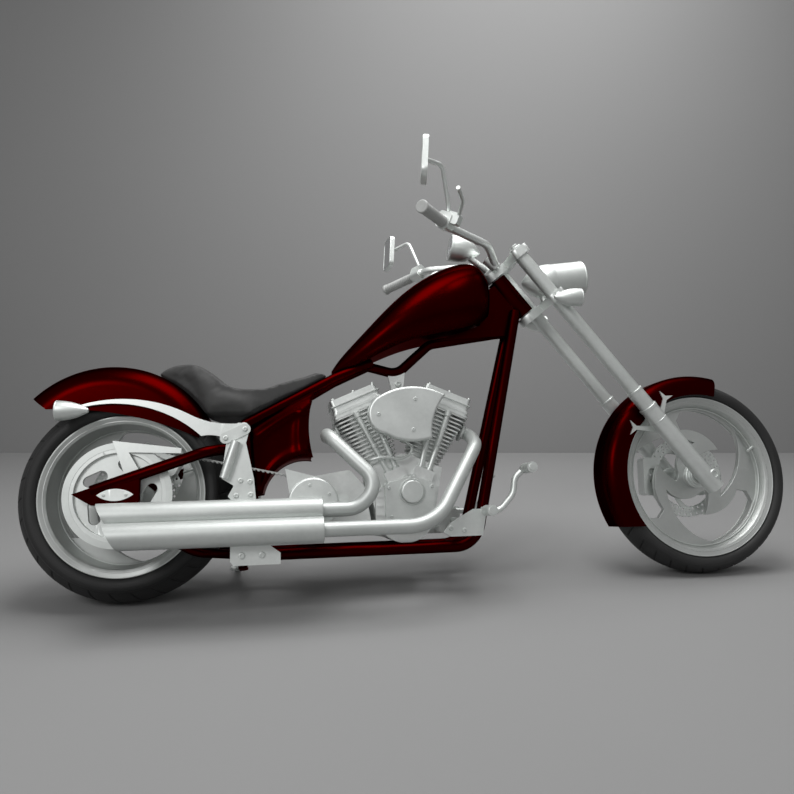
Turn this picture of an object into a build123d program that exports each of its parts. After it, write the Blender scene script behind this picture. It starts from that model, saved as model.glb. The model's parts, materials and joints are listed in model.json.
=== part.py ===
from build123d import *

import os
from dataclasses import dataclass
from math import asin, atan2, cos, degrees, radians, sin, sqrt

# Custom chopper motorcycle, parked on its side stand.
# Every piece is drawn on the upright machine: X forward, Y to the left, Z up,
# X = 0 at the rear axle, Z = 0 at the road. The finished pieces are then leaned
# over together onto the side stand. Lengths in millimetres, angles in degrees.

# Stance
LEAN = 12.5
WHEELBASE = 1968.0
RAKE = 38.1
CLEARANCE = 0.3
RUNNING_GAP = 5.0

# Fork: distances are measured from the front axle, along and across the legs
FRONT_TYRE_HALF = 65.0
FENDER_OVER_TYRE = 9.0
FENDER_TO_SLIDER = 3.0
SLIDER_RADIUS = 31.0
FRONT_FENDER_HALF_WIDTH = FRONT_TYRE_HALF + FENDER_OVER_TYRE
LEG_HALF_SPACING = FRONT_FENDER_HALF_WIDTH + FENDER_TO_SLIDER + SLIDER_RADIUS
LEG_SETBACK = 17.0
STEM_TO_LEGS = 83.0
FORK_TUBE_RADIUS = 24.5
COLLAR_RADIUS = 28.0
SLIDER_BELOW_AXLE = 46.0
SLIDER_LENGTH = 364.0
COLLAR_LENGTH = 79.0
LOWER_CLAMP_AT = 815.0
CLAMP_SPAN = 202.0
CLAMP_HEIGHT = 30.0
CLAMP_DEPTH = 64.0
CLAMP_END = 33.0
STEM_RADIUS = 20.0
HEAD_RADIUS = 36.0

# Frame tubes
RAIL_RADIUS = 16.0
CRADLE_RADIUS = 19.0
CRADLE_HALF_WIDTH = 95.0
CRADLE_HEIGHT = 137.0
UPRIGHT_HALF_WIDTH = 112.0
GUSSET_HALF_WIDTH = 22.0
BACKBONE_RADIUS = 17.0

# Engine
CRANK_X = 882.0
CRANK_Z = 254.0
BANK_ANGLE = 22.5
CASE_HALF_WIDTH = 80.0
CASE_RADIUS = 100.0
DECK_HEIGHT = 180.0
FIN_COUNT = 14
FIN_THICKNESS = 5.0
FIN_STACK = 190.0
FIN_HALF_LENGTHS = (58.0, 95.0)
FIN_HALF_WIDTHS = (60.0, 74.0)
FIN_DEPTH = 16.0
ROCKER_LENGTH = 180.0
ROCKER_WIDTH = 146.0
ROCKER_HEIGHT = 66.0
PUSHROD_RADIUS = 9.0

# Belt drive on the right-hand side
BELT_INNER = -136.0
BELT_WIDTH = 36.0
BELT_THICKNESS = 7.0
REAR_PULLEY_RADIUS = 148.0
DRIVE_PULLEY_RADIUS = 60.0
DRIVE_X = 577.0
DRIVE_Z = 295.0
BELT_CLEARANCE = 0.5

# Exhaust
HEADER_RADIUS = 22.0
MUFFLER_RADIUS = 38.5
MUFFLER_BORE = 33.0
MUFFLER_FRONT = 600.0
UPPER_MUFFLER = (-246.0, 269.0)
LOWER_MUFFLER = (-300.0, 212.0)
SLASH_TOP = (-40.0, 306.0)
SLASH_BOTTOM = (33.0, 175.0)

# Rear bodywork and running gear
FENDER_HALF_WIDTH = 145.0
FENDER_RADIUS = 330.0
FENDER_CENTRE = (-40.0, 411.0)
FENDER_CROWN_FILLET = 70.0
SHEET = 3.0
STRUT_THICKNESS = 12.0
SIDE_PLATE_THICKNESS = 12.0
ARM_OFFSET = 192.0
ARM_RADIUS = 17.0
ARM_PLATE = 24.0
AXLE_RADIUS = 12.5

# Side stand: the foot's place is on the floor of the parked machine
STAND_PIVOT = (345.0, 150.0, 100.0)
STAND_FOOT_PARKED = (316.0, 311.0)
STAND_AXIS = (-0.12, 0.22, 0.968)
STAND_TUBE_RADIUS = 11.0
STAND_PIN_RADIUS = 8.0
STAND_BARREL_RADIUS = 15.0
STAND_BARREL_HALF = 18.0
STAND_FOOT_RADIUS = 25.0
STAND_FOOT_HEIGHT = 10.0


@dataclass
class Wheel:
    """A tyre and rim: half widths along the axle, radii from it."""

    x: float
    tyre_radius: float
    tread_half: float
    tread_edge: float
    side_half: float
    side_radius: float
    bead_half: float
    seat: float
    lip: float
    barrel: float
    disc_half: float
    hub_radius: float
    hub_right: float
    hub_left: float
    bore: float

    @property
    def crown(self):
        """Radius of the tread's own round, across the tyre."""
        drop = self.tyre_radius - self.tread_edge
        return (self.tread_half**2 + drop**2) / (2 * drop)

    @property
    def z(self):
        """Axle height that sets the leaned tyre on the road."""
        return self.tyre_radius - self.crown + self.crown / cos(radians(LEAN))


REAR = Wheel(
    x=0.0, tyre_radius=328.0, tread_half=106.0, tread_edge=288.0, side_half=125.0, side_radius=268.0,
    bead_half=110.0, seat=229.5, lip=246.0, barrel=212.0, disc_half=13.0,
    hub_radius=44.0, hub_right=-134.0, hub_left=96.0, bore=AXLE_RADIUS + CLEARANCE,
)
FRONT = Wheel(
    x=WHEELBASE, tyre_radius=344.5, tread_half=54.0, tread_edge=325.0,
    side_half=FRONT_TYRE_HALF, side_radius=306.0,
    bead_half=49.5, seat=267.0, lip=285.5, barrel=248.0, disc_half=10.0,
    hub_radius=42.0, hub_right=-48.0, hub_left=50.0, bore=AXLE_RADIUS + CLEARANCE,
)

# Sickle openings of both wheels: share of the rim lip's radius, angle on the right-hand side
OPENINGS = 3
HOOK = (0.74, 103.5)
RIM_FROM = (0.855, 96.0)
RIM_MID = (0.862, 70.0)
RIM_TO = (0.855, 42.0)
BLADE_MID = (0.66, 13.0)
BLADE_TIP = (0.43, -38.0)
HUB_MID = (0.315, 5.0)
HUB_END = (0.215, 48.0)
THROAT_MID = (0.225, 62.0)
THROAT = (0.255, 73.0)
CLAW_INNER = (0.375, 55.5)
CLAW_TIP = (0.50, 41.6)
CLAW_MID = (0.575, 78.0)
CLAW_ROOT = (0.61, 102.0)


def side_plane(y):
    """Side elevation at y: local axes are X and Z, extruding towards the right-hand side."""
    return Plane.XZ.offset(-y)


def wheel_plane(wheel, y=0.0):
    """Side elevation centred on an axle."""
    return Plane(origin=(wheel.x, y, wheel.z), x_dir=(1, 0, 0), z_dir=(0, -1, 0))


def axle_plane(wheel, angle=90.0):
    """Half section through an axle: local axes are Y and the radius at the given angle."""
    across = (sin(radians(angle)), 0, -cos(radians(angle)))
    return Plane(origin=(wheel.x, 0, wheel.z), x_dir=(0, 1, 0), z_dir=across)


def axle_axis(wheel):
    """The axle itself, so that a turn runs anticlockwise as seen from the right."""
    return Axis((wheel.x, 0, wheel.z), (0, -1, 0))


def polar(radius, angle):
    """Point at a radius and angle."""
    return (radius * cos(radians(angle)), radius * sin(radians(angle)))


def rod(start, end, radius):
    """Straight round bar between two points."""
    run = Vector(*end) - Vector(*start)
    with BuildPart() as bar:
        with BuildSketch(Plane(origin=start, z_dir=run)):
            Circle(radius)
        extrude(amount=run.length)
    return bar.part


def bent_tube(points, bends, radius):
    """Round tube along straight runs joined by tangent bends."""
    with BuildPart() as tube:
        with BuildLine() as path:
            FilletPolyline(*points, radius=bends)
        with BuildSketch(Plane(origin=path.line @ 0, z_dir=path.line % 0)):
            Circle(radius)
        sweep(path=path.wire())
    return tube.part


# Fork directions: legs run up and back at the rake
FORK = Plane(
    origin=(FRONT.x, 0, FRONT.z),
    x_dir=(cos(radians(RAKE)), 0, sin(radians(RAKE))),
    z_dir=(-sin(radians(RAKE)), 0, cos(radians(RAKE))),
)
LEG = -LEG_SETBACK
STEM = -LEG_SETBACK - STEM_TO_LEGS
UPPER_CLAMP_AT = LOWER_CLAMP_AT + CLAMP_SPAN
FORK_TOP = UPPER_CLAMP_AT + CLAMP_HEIGHT + 3.0


def fork_point(forward, y, up):
    """Point in the fork's own directions: across the legs, sideways and up along them."""
    return tuple(FORK.from_local_coords(Vector(forward, y, up)))


def bank_plane(side):
    """A cylinder bank's directions from the crank: side -1 is the rear bank, +1 the front."""
    lean_s, lean_c = sin(radians(BANK_ANGLE)), cos(radians(BANK_ANGLE))
    return Plane(
        origin=(CRANK_X, 0, CRANK_Z),
        x_dir=(lean_c, 0, -side * lean_s),
        z_dir=(side * lean_s, 0, lean_c),
    )


def bank_point(side, along, y, up):
    """Point in a cylinder bank's directions."""
    return tuple(bank_plane(side).from_local_coords(Vector(along, y, up)))


def flat(point):
    """Drop Y: a side-elevation point."""
    return (point[0], point[2])


def make_tyre(wheel):
    """Hollow tyre: crown and sidewalls as arcs, standing on the rim's bead seats."""
    wall = 11.0
    foot = wheel.seat + CLEARANCE
    shoulder = wheel.lip + 1.5
    inner = wheel.tyre_radius - 1.4 * wall
    with BuildPart() as tyre:
        with BuildSketch(axle_plane(wheel)):
            with BuildLine():
                for way in (1, -1):
                    heel = (way * wheel.bead_half, foot)
                    hip = (way * wheel.bead_half, shoulder)
                    toe = (way * (wheel.bead_half - wall), foot)
                    belly = (way * (wheel.bead_half - wall), shoulder)
                    edge = (way * wheel.tread_half, wheel.tread_edge)
                    Line(toe, heel)
                    Line(heel, hip)
                    ThreePointArc(hip, (way * wheel.side_half, wheel.side_radius), edge)
                    Line(toe, belly)
                ThreePointArc(
                    (wheel.tread_half, wheel.tread_edge),
                    (0, wheel.tyre_radius),
                    (-wheel.tread_half, wheel.tread_edge),
                )
                ThreePointArc(
                    (wheel.bead_half - wall, shoulder),
                    (0, inner),
                    (wall - wheel.bead_half, shoulder),
                )
            make_face()
        revolve(axis=axle_axis(wheel))
    return tyre.part


def make_rim(wheel):
    """Deep rim with three sickle openings in its disc, and a stepped hub."""
    flange = 4.5
    lip_out = wheel.bead_half + CLEARANCE + flange
    half_section = (
        (lip_out, wheel.lip),
        (lip_out - flange, wheel.lip),
        (lip_out - flange, wheel.seat),
        (0, wheel.seat),
        (0, wheel.barrel),
        (wheel.disc_half + 12, wheel.barrel),
        (lip_out - 2 * flange, wheel.barrel + 0.6 * (wheel.lip - wheel.seat)),
        (lip_out, wheel.lip - flange),
    )
    with BuildPart() as rim:
        with BuildSketch(axle_plane(wheel)):
            Polygon(*half_section, align=None)
            mirror(about=Plane.YZ)
        revolve(axis=axle_axis(wheel))
        with BuildSketch(wheel_plane(wheel)):
            Circle(wheel.barrel + 2)
            Circle(wheel.bore, mode=Mode.SUBTRACT)
            for number in range(OPENINGS):
                turn = number * 360 / OPENINGS

                def at(place):
                    return polar(place[0] * wheel.lip, place[1] + turn)

                with BuildLine():
                    Line(at(HOOK), at(RIM_FROM))
                    ThreePointArc(at(RIM_FROM), at(RIM_MID), at(RIM_TO))
                    ThreePointArc(at(RIM_TO), at(BLADE_MID), at(BLADE_TIP))
                    ThreePointArc(at(BLADE_TIP), at(HUB_MID), at(HUB_END))
                    ThreePointArc(at(HUB_END), at(THROAT_MID), at(THROAT))
                    ThreePointArc(at(THROAT), at(CLAW_INNER), at(CLAW_TIP))
                    ThreePointArc(at(CLAW_TIP), at(CLAW_MID), at(CLAW_ROOT))
                    Line(at(CLAW_ROOT), at(HOOK))
                make_face(mode=Mode.SUBTRACT)
        extrude(amount=wheel.disc_half, both=True)
        with BuildSketch(axle_plane(wheel)):
            Polygon(
                (wheel.hub_right, wheel.bore),
                (wheel.hub_right, 0.7 * wheel.hub_radius),
                (-wheel.disc_half - 18, 0.7 * wheel.hub_radius),
                (-wheel.disc_half - 14, wheel.hub_radius),
                (wheel.disc_half + 14, wheel.hub_radius),
                (wheel.disc_half + 18, 0.7 * wheel.hub_radius),
                (wheel.hub_left, 0.7 * wheel.hub_radius),
                (wheel.hub_left, wheel.bore),
                align=None,
            )
        revolve(axis=axle_axis(wheel))
    return rim.part


def make_rotor(wheel, radius, thickness):
    """Brake disc on the left end of the hub: a ring carried by five arms."""
    ring = 38.0
    arms = 5
    with BuildPart() as rotor:
        with BuildSketch(wheel_plane(wheel, wheel.hub_left + thickness)):
            Circle(radius)
            Circle(radius - ring, mode=Mode.SUBTRACT)
            with PolarLocations(0, arms):
                with Locations(((radius - ring / 2) / 2, 0)):
                    Rectangle(radius - ring / 2, 22)
            Circle(wheel.hub_radius)
            Circle(wheel.bore, mode=Mode.SUBTRACT)
        extrude(amount=thickness)
    return rotor.part


# Wheels and brake discs
ROTOR_RADIUS = 148.0
ROTOR_THICKNESS = 5.0

with BuildPart() as rear_tyre:
    add(make_tyre(REAR))
rear_tyre.part.label = "rear_tyre"

with BuildPart() as rear_rim:
    add(make_rim(REAR))
rear_rim.part.label = "rear_rim"

with BuildPart() as rear_rotor:
    add(make_rotor(REAR, ROTOR_RADIUS, ROTOR_THICKNESS))
rear_rotor.part.label = "rear_rotor"

with BuildPart() as front_tyre:
    add(make_tyre(FRONT))
front_tyre.part.label = "front_tyre"

with BuildPart() as front_rim:
    add(make_rim(FRONT))
front_rim.part.label = "front_rim"

with BuildPart() as front_rotor:
    add(make_rotor(FRONT, ROTOR_RADIUS, ROTOR_THICKNESS))
front_rotor.part.label = "front_rotor"

# Rear belt pulley: toothed ring, curved web openings and a hub against the wheel's
PULLEY_RING = 22.0
PULLEY_WEB_HALF = 6.0
BELT_OUTER = BELT_INNER - BELT_WIDTH
BELT_MID = (BELT_INNER + BELT_OUTER) / 2
PULLEY_OPENINGS = 5

with BuildPart() as rear_pulley:
    with BuildSketch(wheel_plane(REAR, BELT_INNER)):
        Circle(REAR_PULLEY_RADIUS)
        Circle(REAR_PULLEY_RADIUS - PULLEY_RING, mode=Mode.SUBTRACT)
    extrude(amount=BELT_WIDTH)
    with BuildSketch(wheel_plane(REAR, BELT_MID)):
        Circle(REAR_PULLEY_RADIUS - PULLEY_RING / 2)
        Circle(REAR.bore, mode=Mode.SUBTRACT)
        with PolarLocations(84, PULLEY_OPENINGS):
            SlotOverall(72, 34, rotation=60, mode=Mode.SUBTRACT)
    extrude(amount=PULLEY_WEB_HALF, both=True)
    with BuildSketch(wheel_plane(REAR, REAR.hub_right)):
        Circle(REAR.hub_radius)
        Circle(REAR.bore, mode=Mode.SUBTRACT)
    extrude(amount=REAR.hub_right - BELT_OUTER)
rear_pulley.part.label = "rear_pulley"

# Frame: steering head, boxed neck, backbone and upper rails in one weldment
HEAD_FROM = LOWER_CLAMP_AT + CLAMP_HEIGHT + RUNNING_GAP
HEAD_TO = UPPER_CLAMP_AT - RUNNING_GAP
RAIL_REAR = (362.0, 545.0)
RAIL_KNEE = (660.0, 710.0)
RAIL_FRONT = (790.0, 766.0)
RAIL_HALF_WIDTHS = (UPRIGHT_HALF_WIDTH, 45.0, 20.0)
GUSSET = (
    (1016, 846),
    (1186, 905),
    (1218, 1036),
    flat(fork_point(STEM, 0, HEAD_TO - 14)),
    flat(fork_point(STEM, 0, HEAD_FROM + 14)),
    (1282, 868),
)
EYE = (367.0, 530.0)
EYE_RADIUS = 15.0

with BuildPart() as frame:
    with BuildSketch(FORK.offset(HEAD_FROM)):
        with Locations((STEM, 0)):
            Circle(HEAD_RADIUS)
    extrude(amount=HEAD_TO - HEAD_FROM)
    with BuildSketch(side_plane(0)):
        Polygon(*GUSSET, align=None)
    extrude(amount=GUSSET_HALF_WIDTH, both=True)
    add(
        bent_tube(
            (
                (RAIL_FRONT[0] - 20, 0, RAIL_FRONT[1] - 6),
                (880, 0, 731),
                (1000, 0, 838),
                (1275, 0, 882),
            ),
            (60, 55),
            BACKBONE_RADIUS,
        )
    )
    for way in (1, -1):
        add(
            bent_tube(
                (
                    (RAIL_REAR[0], way * RAIL_HALF_WIDTHS[0], RAIL_REAR[1]),
                    (RAIL_KNEE[0], way * RAIL_HALF_WIDTHS[1], RAIL_KNEE[1]),
                    (RAIL_FRONT[0], way * RAIL_HALF_WIDTHS[2], RAIL_FRONT[1]),
                ),
                120,
                RAIL_RADIUS,
            )
        )
        with Locations((EYE[0], way * (FENDER_HALF_WIDTH + UPRIGHT_HALF_WIDTH) / 2, EYE[1])):
            Cylinder(EYE_RADIUS, FENDER_HALF_WIDTH - UPRIGHT_HALF_WIDTH, rotation=(90, 0, 0))
    add(rod((EYE[0], -UPRIGHT_HALF_WIDTH, EYE[1]), (EYE[0], UPRIGHT_HALF_WIDTH, EYE[1]), EYE_RADIUS))
    with BuildSketch(FORK.offset(HEAD_FROM)):
        with Locations((STEM, 0)):
            Circle(STEM_RADIUS)
    extrude(amount=HEAD_TO - HEAD_FROM, mode=Mode.SUBTRACT)
frame.part.label = "frame"

# Cradle: twin downtubes, lower rails and rear uprights, with the side stand's clevis
UPRIGHT_TOP = (368.0, 520.0)
UPRIGHT_FOOT = (396.0, CRADLE_HEIGHT)
DOWNTUBE_TOP = (1318.0, 955.0)
DOWNTUBE_KNEE = (1110.0, CRADLE_HEIGHT)
CLEVIS_PLATE = 8.0
CLEVIS_GAP = 0.5
STAND_PLANE = Plane(origin=STAND_PIVOT, x_dir=(1, 0, 0.12 / 0.968), z_dir=STAND_AXIS)

with BuildPart() as cradle:
    for way in (1, -1):
        add(
            bent_tube(
                (
                    (DOWNTUBE_TOP[0], way * 30.0, DOWNTUBE_TOP[1]),
                    (DOWNTUBE_KNEE[0], way * CRADLE_HALF_WIDTH, DOWNTUBE_KNEE[1]),
                    (UPRIGHT_FOOT[0] - 60, way * CRADLE_HALF_WIDTH, CRADLE_HEIGHT),
                ),
                90,
                CRADLE_RADIUS,
            )
        )
        add(
            rod(
                (UPRIGHT_FOOT[0], way * CRADLE_HALF_WIDTH, UPRIGHT_FOOT[1]),
                (UPRIGHT_TOP[0], way * UPRIGHT_HALF_WIDTH, UPRIGHT_TOP[1]),
                RAIL_RADIUS,
            )
        )
    for x in (UPRIGHT_FOOT[0], DOWNTUBE_KNEE[0] - 60):
        add(rod((x, -CRADLE_HALF_WIDTH, CRADLE_HEIGHT), (x, CRADLE_HALF_WIDTH, CRADLE_HEIGHT), RAIL_RADIUS))
    for foot in (STAND_BARREL_HALF + CLEVIS_GAP, -STAND_BARREL_HALF - CLEVIS_GAP - CLEVIS_PLATE):
        with BuildSketch(STAND_PLANE.offset(foot)):
            Circle(STAND_BARREL_RADIUS)
            with Locations((0, -22)):
                Rectangle(2 * STAND_BARREL_RADIUS, 44)
        extrude(amount=CLEVIS_PLATE)
    with BuildSketch(STAND_PLANE.offset(-STAND_BARREL_HALF - CLEVIS_GAP - CLEVIS_PLATE)):
        with Locations((0, -34)):
            Rectangle(2 * STAND_BARREL_RADIUS, 22)
    extrude(amount=2 * (STAND_BARREL_HALF + CLEVIS_GAP + CLEVIS_PLATE))
    with BuildSketch(STAND_PLANE.offset(-STAND_BARREL_HALF - CLEVIS_GAP - CLEVIS_PLATE)):
        Circle(STAND_PIN_RADIUS)
    extrude(amount=2 * (STAND_BARREL_HALF + CLEVIS_GAP + CLEVIS_PLATE))
    add(frame.part, mode=Mode.SUBTRACT)
cradle.part.label = "cradle"

# Swingarm: an upper tube, a lower tube and an axle plate on each side
ARM_TIP = (-122.0, 337.0)
ARM_BACK = (-70.0, 345.0)
ARM_BEND = (252.0, 454.0)
ARM_FRONT = (371.0, 478.0)
LOWER_BEND = (232.0, 156.0)
PLATE_BOTTOM = 303.0
PLATE_FRONT = 66.0

with BuildPart() as swingarm:
    for way in (1, -1):
        add(
            bent_tube(
                (
                    (ARM_BACK[0], way * ARM_OFFSET, ARM_BACK[1]),
                    (ARM_BEND[0], way * ARM_OFFSET, ARM_BEND[1]),
                    (ARM_FRONT[0], way * UPRIGHT_HALF_WIDTH, ARM_FRONT[1]),
                ),
                70,
                ARM_RADIUS,
            )
        )
        add(
            bent_tube(
                (
                    (30, way * ARM_OFFSET, 312),
                    (36, way * ARM_OFFSET, 262),
                    (LOWER_BEND[0], way * ARM_OFFSET, LOWER_BEND[1]),
                    (345, way * CRADLE_HALF_WIDTH, 140),
                ),
                (40, 70),
                0.8 * ARM_RADIUS,
            )
        )
    with BuildSketch(side_plane(ARM_OFFSET + ARM_PLATE / 2)):
        Polygon(ARM_TIP, (-66, PLATE_BOTTOM), (PLATE_FRONT, PLATE_BOTTOM), (PLATE_FRONT, 400), align=None)
    extrude(amount=ARM_PLATE)
    with BuildSketch(side_plane(-ARM_OFFSET + ARM_PLATE / 2)):
        Polygon(ARM_TIP, (-66, PLATE_BOTTOM), (PLATE_FRONT, PLATE_BOTTOM), (PLATE_FRONT, 400), align=None)
    extrude(amount=ARM_PLATE)
    add(rod((REAR.x, -300, REAR.z), (REAR.x, 300, REAR.z), AXLE_RADIUS), mode=Mode.SUBTRACT)
    add(cradle.part, mode=Mode.SUBTRACT)
swingarm.part.label = "swingarm"

# Rear axle with its spacers
SPACER_RADIUS = 20.0
ARM_INNER = ARM_OFFSET - ARM_PLATE / 2

with BuildPart() as rear_axle:
    add(rod((REAR.x, -ARM_OFFSET, REAR.z), (REAR.x, ARM_OFFSET, REAR.z), AXLE_RADIUS))
    add(rod((REAR.x, -ARM_INNER, REAR.z), (REAR.x, BELT_OUTER - 2, REAR.z), SPACER_RADIUS))
    rotor_face = REAR.hub_left + ROTOR_THICKNESS + 2
    add(rod((REAR.x, rotor_face, REAR.z), (REAR.x, ARM_INNER, REAR.z), SPACER_RADIUS))
rear_axle.part.label = "rear_axle"

# Eye-shaped axle covers on the swingarm plates
COVER_HALF_LENGTH = 52.0
COVER_HALF_HEIGHT = 18.0
COVER_THICKNESS = 5.0

with BuildPart() as axle_covers:
    with BuildSketch(wheel_plane(REAR, -ARM_OFFSET - ARM_PLATE / 2)):
        with BuildLine():
            ThreePointArc((-COVER_HALF_LENGTH, 0), (0, COVER_HALF_HEIGHT), (COVER_HALF_LENGTH, 0))
            ThreePointArc((-COVER_HALF_LENGTH, 0), (0, -COVER_HALF_HEIGHT), (COVER_HALF_LENGTH, 0))
        make_face()
    extrude(amount=COVER_THICKNESS)
    mirror(about=Plane.XZ)
axle_covers.part.label = "axle_covers"

# Rear fender: one pressing with a rounded crown and deep sides
FENDER_TAIL = (-278.0, 640.0)
FENDER_TAIL_LOW = (-222.0, 597.0)
FENDER_FRONT = (245.0, 576.0)
FENDER_FRONT_LOW = (228.0, 503.0)
SKIRT_RADIUS = 247.0


def crown_point(angle, inset=0.0):
    """Point on the fender's crown arc."""
    x, z = polar(FENDER_RADIUS - inset, angle)
    return (FENDER_CENTRE[0] + x, FENDER_CENTRE[1] + z)


def crown_angle(point):
    """Angle of a point about the crown's centre."""
    return degrees(atan2(point[1] - FENDER_CENTRE[1], point[0] - FENDER_CENTRE[0]))


CROWN_FROM = crown_angle(FENDER_FRONT)
CROWN_TO = crown_angle(FENDER_TAIL)

with BuildPart() as rear_fender:
    with BuildSketch(side_plane(0)):
        with BuildLine():
            ThreePointArc(crown_point(CROWN_FROM), crown_point(90), crown_point(CROWN_TO))
            Line(crown_point(CROWN_TO), FENDER_TAIL_LOW)
            ThreePointArc(FENDER_TAIL_LOW, (REAR.x, REAR.z + SKIRT_RADIUS), FENDER_FRONT_LOW)
            Line(FENDER_FRONT_LOW, crown_point(CROWN_FROM))
        make_face()
    extrude(amount=FENDER_HALF_WIDTH, both=True)
    crown_edges = rear_fender.edges().filter_by(GeomType.CIRCLE).sort_by(Axis.Z)[-2:]
    fillet(crown_edges, radius=FENDER_CROWN_FILLET)
    inside = FENDER_RADIUS - SHEET
    with BuildPart(mode=Mode.PRIVATE) as hollow:
        with BuildSketch(side_plane(0)):
            with BuildLine():
                ThreePointArc(crown_point(0, SHEET), crown_point(90, SHEET), crown_point(180, SHEET))
                Polyline(
                    crown_point(180, SHEET),
                    (FENDER_CENTRE[0] - inside, 200),
                    (FENDER_CENTRE[0] + inside, 200),
                    crown_point(0, SHEET),
                )
            make_face()
        extrude(amount=FENDER_HALF_WIDTH - SHEET, both=True)
        fillet(
            hollow.edges().filter_by(GeomType.CIRCLE).sort_by(Axis.Z)[-2:],
            radius=FENDER_CROWN_FILLET - SHEET,
        )
    add(hollow.part, mode=Mode.SUBTRACT)
rear_fender.part.label = "rear_fender"

# Fender struts: curved bars on the fender's sides, out to the frame's eyes
STRUT_END = -174.0

with BuildPart() as fender_struts:
    with BuildSketch(side_plane(-FENDER_HALF_WIDTH)):
        with BuildLine():
            ThreePointArc((-118, 608), (30, 624), (200, 575))
            ThreePointArc((200, 575), (262, 551), (330, 544))
            Line((330, 544), (372, 544))
            ThreePointArc((372, 544), (382, 526), (362, 515))
            Line((362, 515), (306, 500))
            ThreePointArc((306, 500), (270, 509), (236, 507))
            ThreePointArc((236, 507), (110, 586), (-118, 600))
            Polyline((-118, 600), (STRUT_END, 578), (STRUT_END, 598), (-118, 608))
        make_face()
    extrude(amount=STRUT_THICKNESS)
    mirror(about=Plane.XZ)
fender_struts.part.label = "fender_struts"

# Bullet rear lamps on the struts' ends
REAR_LAMP_RADIUS = 30.0
REAR_LAMP_BACK = -176.0
REAR_LAMP_LENGTH = 88.0
REAR_LAMP_FRONT = REAR_LAMP_BACK + REAR_LAMP_LENGTH
REAR_LAMP_NOSE = 6.0
REAR_LAMP_Z = 586.0
REAR_LAMP_Y = FENDER_HALF_WIDTH + STRUT_THICKNESS + REAR_LAMP_RADIUS + CLEARANCE

with BuildPart() as rear_lamps:
    with BuildSketch(side_plane(-REAR_LAMP_Y)):
        with BuildLine():
            Line((REAR_LAMP_BACK, REAR_LAMP_Z), (REAR_LAMP_BACK, REAR_LAMP_Z + REAR_LAMP_RADIUS))
            ThreePointArc(
                (REAR_LAMP_BACK, REAR_LAMP_Z + REAR_LAMP_RADIUS),
                (REAR_LAMP_BACK + 0.55 * REAR_LAMP_LENGTH, REAR_LAMP_Z + 0.78 * REAR_LAMP_RADIUS),
                (REAR_LAMP_FRONT, REAR_LAMP_Z + REAR_LAMP_NOSE),
            )
            Line((REAR_LAMP_FRONT, REAR_LAMP_Z + REAR_LAMP_NOSE), (REAR_LAMP_FRONT, REAR_LAMP_Z))
            Line((REAR_LAMP_FRONT, REAR_LAMP_Z), (REAR_LAMP_BACK, REAR_LAMP_Z))
        make_face()
    revolve(axis=Axis((0, -REAR_LAMP_Y, REAR_LAMP_Z), (1, 0, 0)))
    mirror(about=Plane.XZ)
rear_lamps.part.label = "rear_lamps"

# Side plates outside the belt, with bosses in to the struts and the uprights
SIDE_PLATE_INNER = BELT_OUTER - RUNNING_GAP
SIDE_PLATE_OUTER = SIDE_PLATE_INNER - SIDE_PLATE_THICKNESS
STRUT_OUTER = FENDER_HALF_WIDTH + STRUT_THICKNESS
SIDE_PLATE = ((350, 543), (378, 540), (385, 524), (374, 480), (398, 370), (404, 306), (334, 304))
SIDE_PLATE_BACK = ((320, 318), (338, 350), (302, 372), (304, 398), (316, 488), (296, 500))
PLATE_BOLTS = ((385.0, 363.0, 9.0), (388.0, 322.0, 9.0))

with BuildPart() as side_plates:
    with BuildSketch(side_plane(SIDE_PLATE_INNER)):
        Polygon(*SIDE_PLATE, *SIDE_PLATE_BACK, align=None)
        fillet(vertices(), radius=5)
    extrude(amount=SIDE_PLATE_THICKNESS)
    add(rod((EYE[0], -STRUT_OUTER, EYE[1]), (EYE[0], SIDE_PLATE_INNER, EYE[1]), EYE_RADIUS))
    for x, z, radius in PLATE_BOLTS:
        add(rod((x, -UPRIGHT_HALF_WIDTH, z), (x, SIDE_PLATE_INNER, z), radius))
    mirror(about=Plane.XZ)
    add(cradle.part, mode=Mode.SUBTRACT)
side_plates.part.label = "side_plates"

# Folded passenger pegs on the side plates
PEG_RADIUS = 14.0
PEG_Y = SIDE_PLATE_OUTER - PEG_RADIUS - CLEARANCE

with BuildPart() as passenger_pegs:
    add(rod((345, PEG_Y, 484), (314, PEG_Y, 388), PEG_RADIUS))
    add(rod((314, PEG_Y, 388), (309, PEG_Y, 373), PEG_RADIUS - 1))
    mirror(about=Plane.XZ)
passenger_pegs.part.label = "passenger_pegs"

# Oil tank between the seat rails and the gearbox
OIL_TANK_HALF_WIDTH = 92.0

with BuildPart() as oil_tank:
    with BuildSketch(side_plane(0)):
        with BuildLine():
            Line((400, 556), (586, 658))
            ThreePointArc((586, 658), (567, 540), (580, 440))
            ThreePointArc((580, 440), (482, 420), (420, 330))
            Line((420, 330), (414, 330))
            Line((414, 330), (400, 556))
        make_face()
    extrude(amount=OIL_TANK_HALF_WIDTH, both=True)
    fillet(oil_tank.edges().filter_by(Axis.Y), radius=3)
    add(cradle.part, mode=Mode.SUBTRACT)
    add(frame.part, mode=Mode.SUBTRACT)
oil_tank.part.label = "oil_tank"

# Fuel tank: teardrop loft, each section a flat floor, two flanks and a crown
# Columns: x, floor height, crown height, half width at the floor, half width at the flanks
TANK_SECTIONS = (
    (652.0, 726.0, 742.0, 12.0, 16.0),
    (700.0, 740.0, 806.0, 34.0, 52.0),
    (800.0, 785.0, 914.0, 66.0, 102.0),
    (930.0, 838.0, 1038.0, 84.0, 134.0),
    (1060.0, 868.0, 1116.0, 88.0, 142.0),
    (1160.0, 898.0, 1136.0, 80.0, 126.0),
    (1208.0, 930.0, 1098.0, 58.0, 88.0),
)

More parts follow.
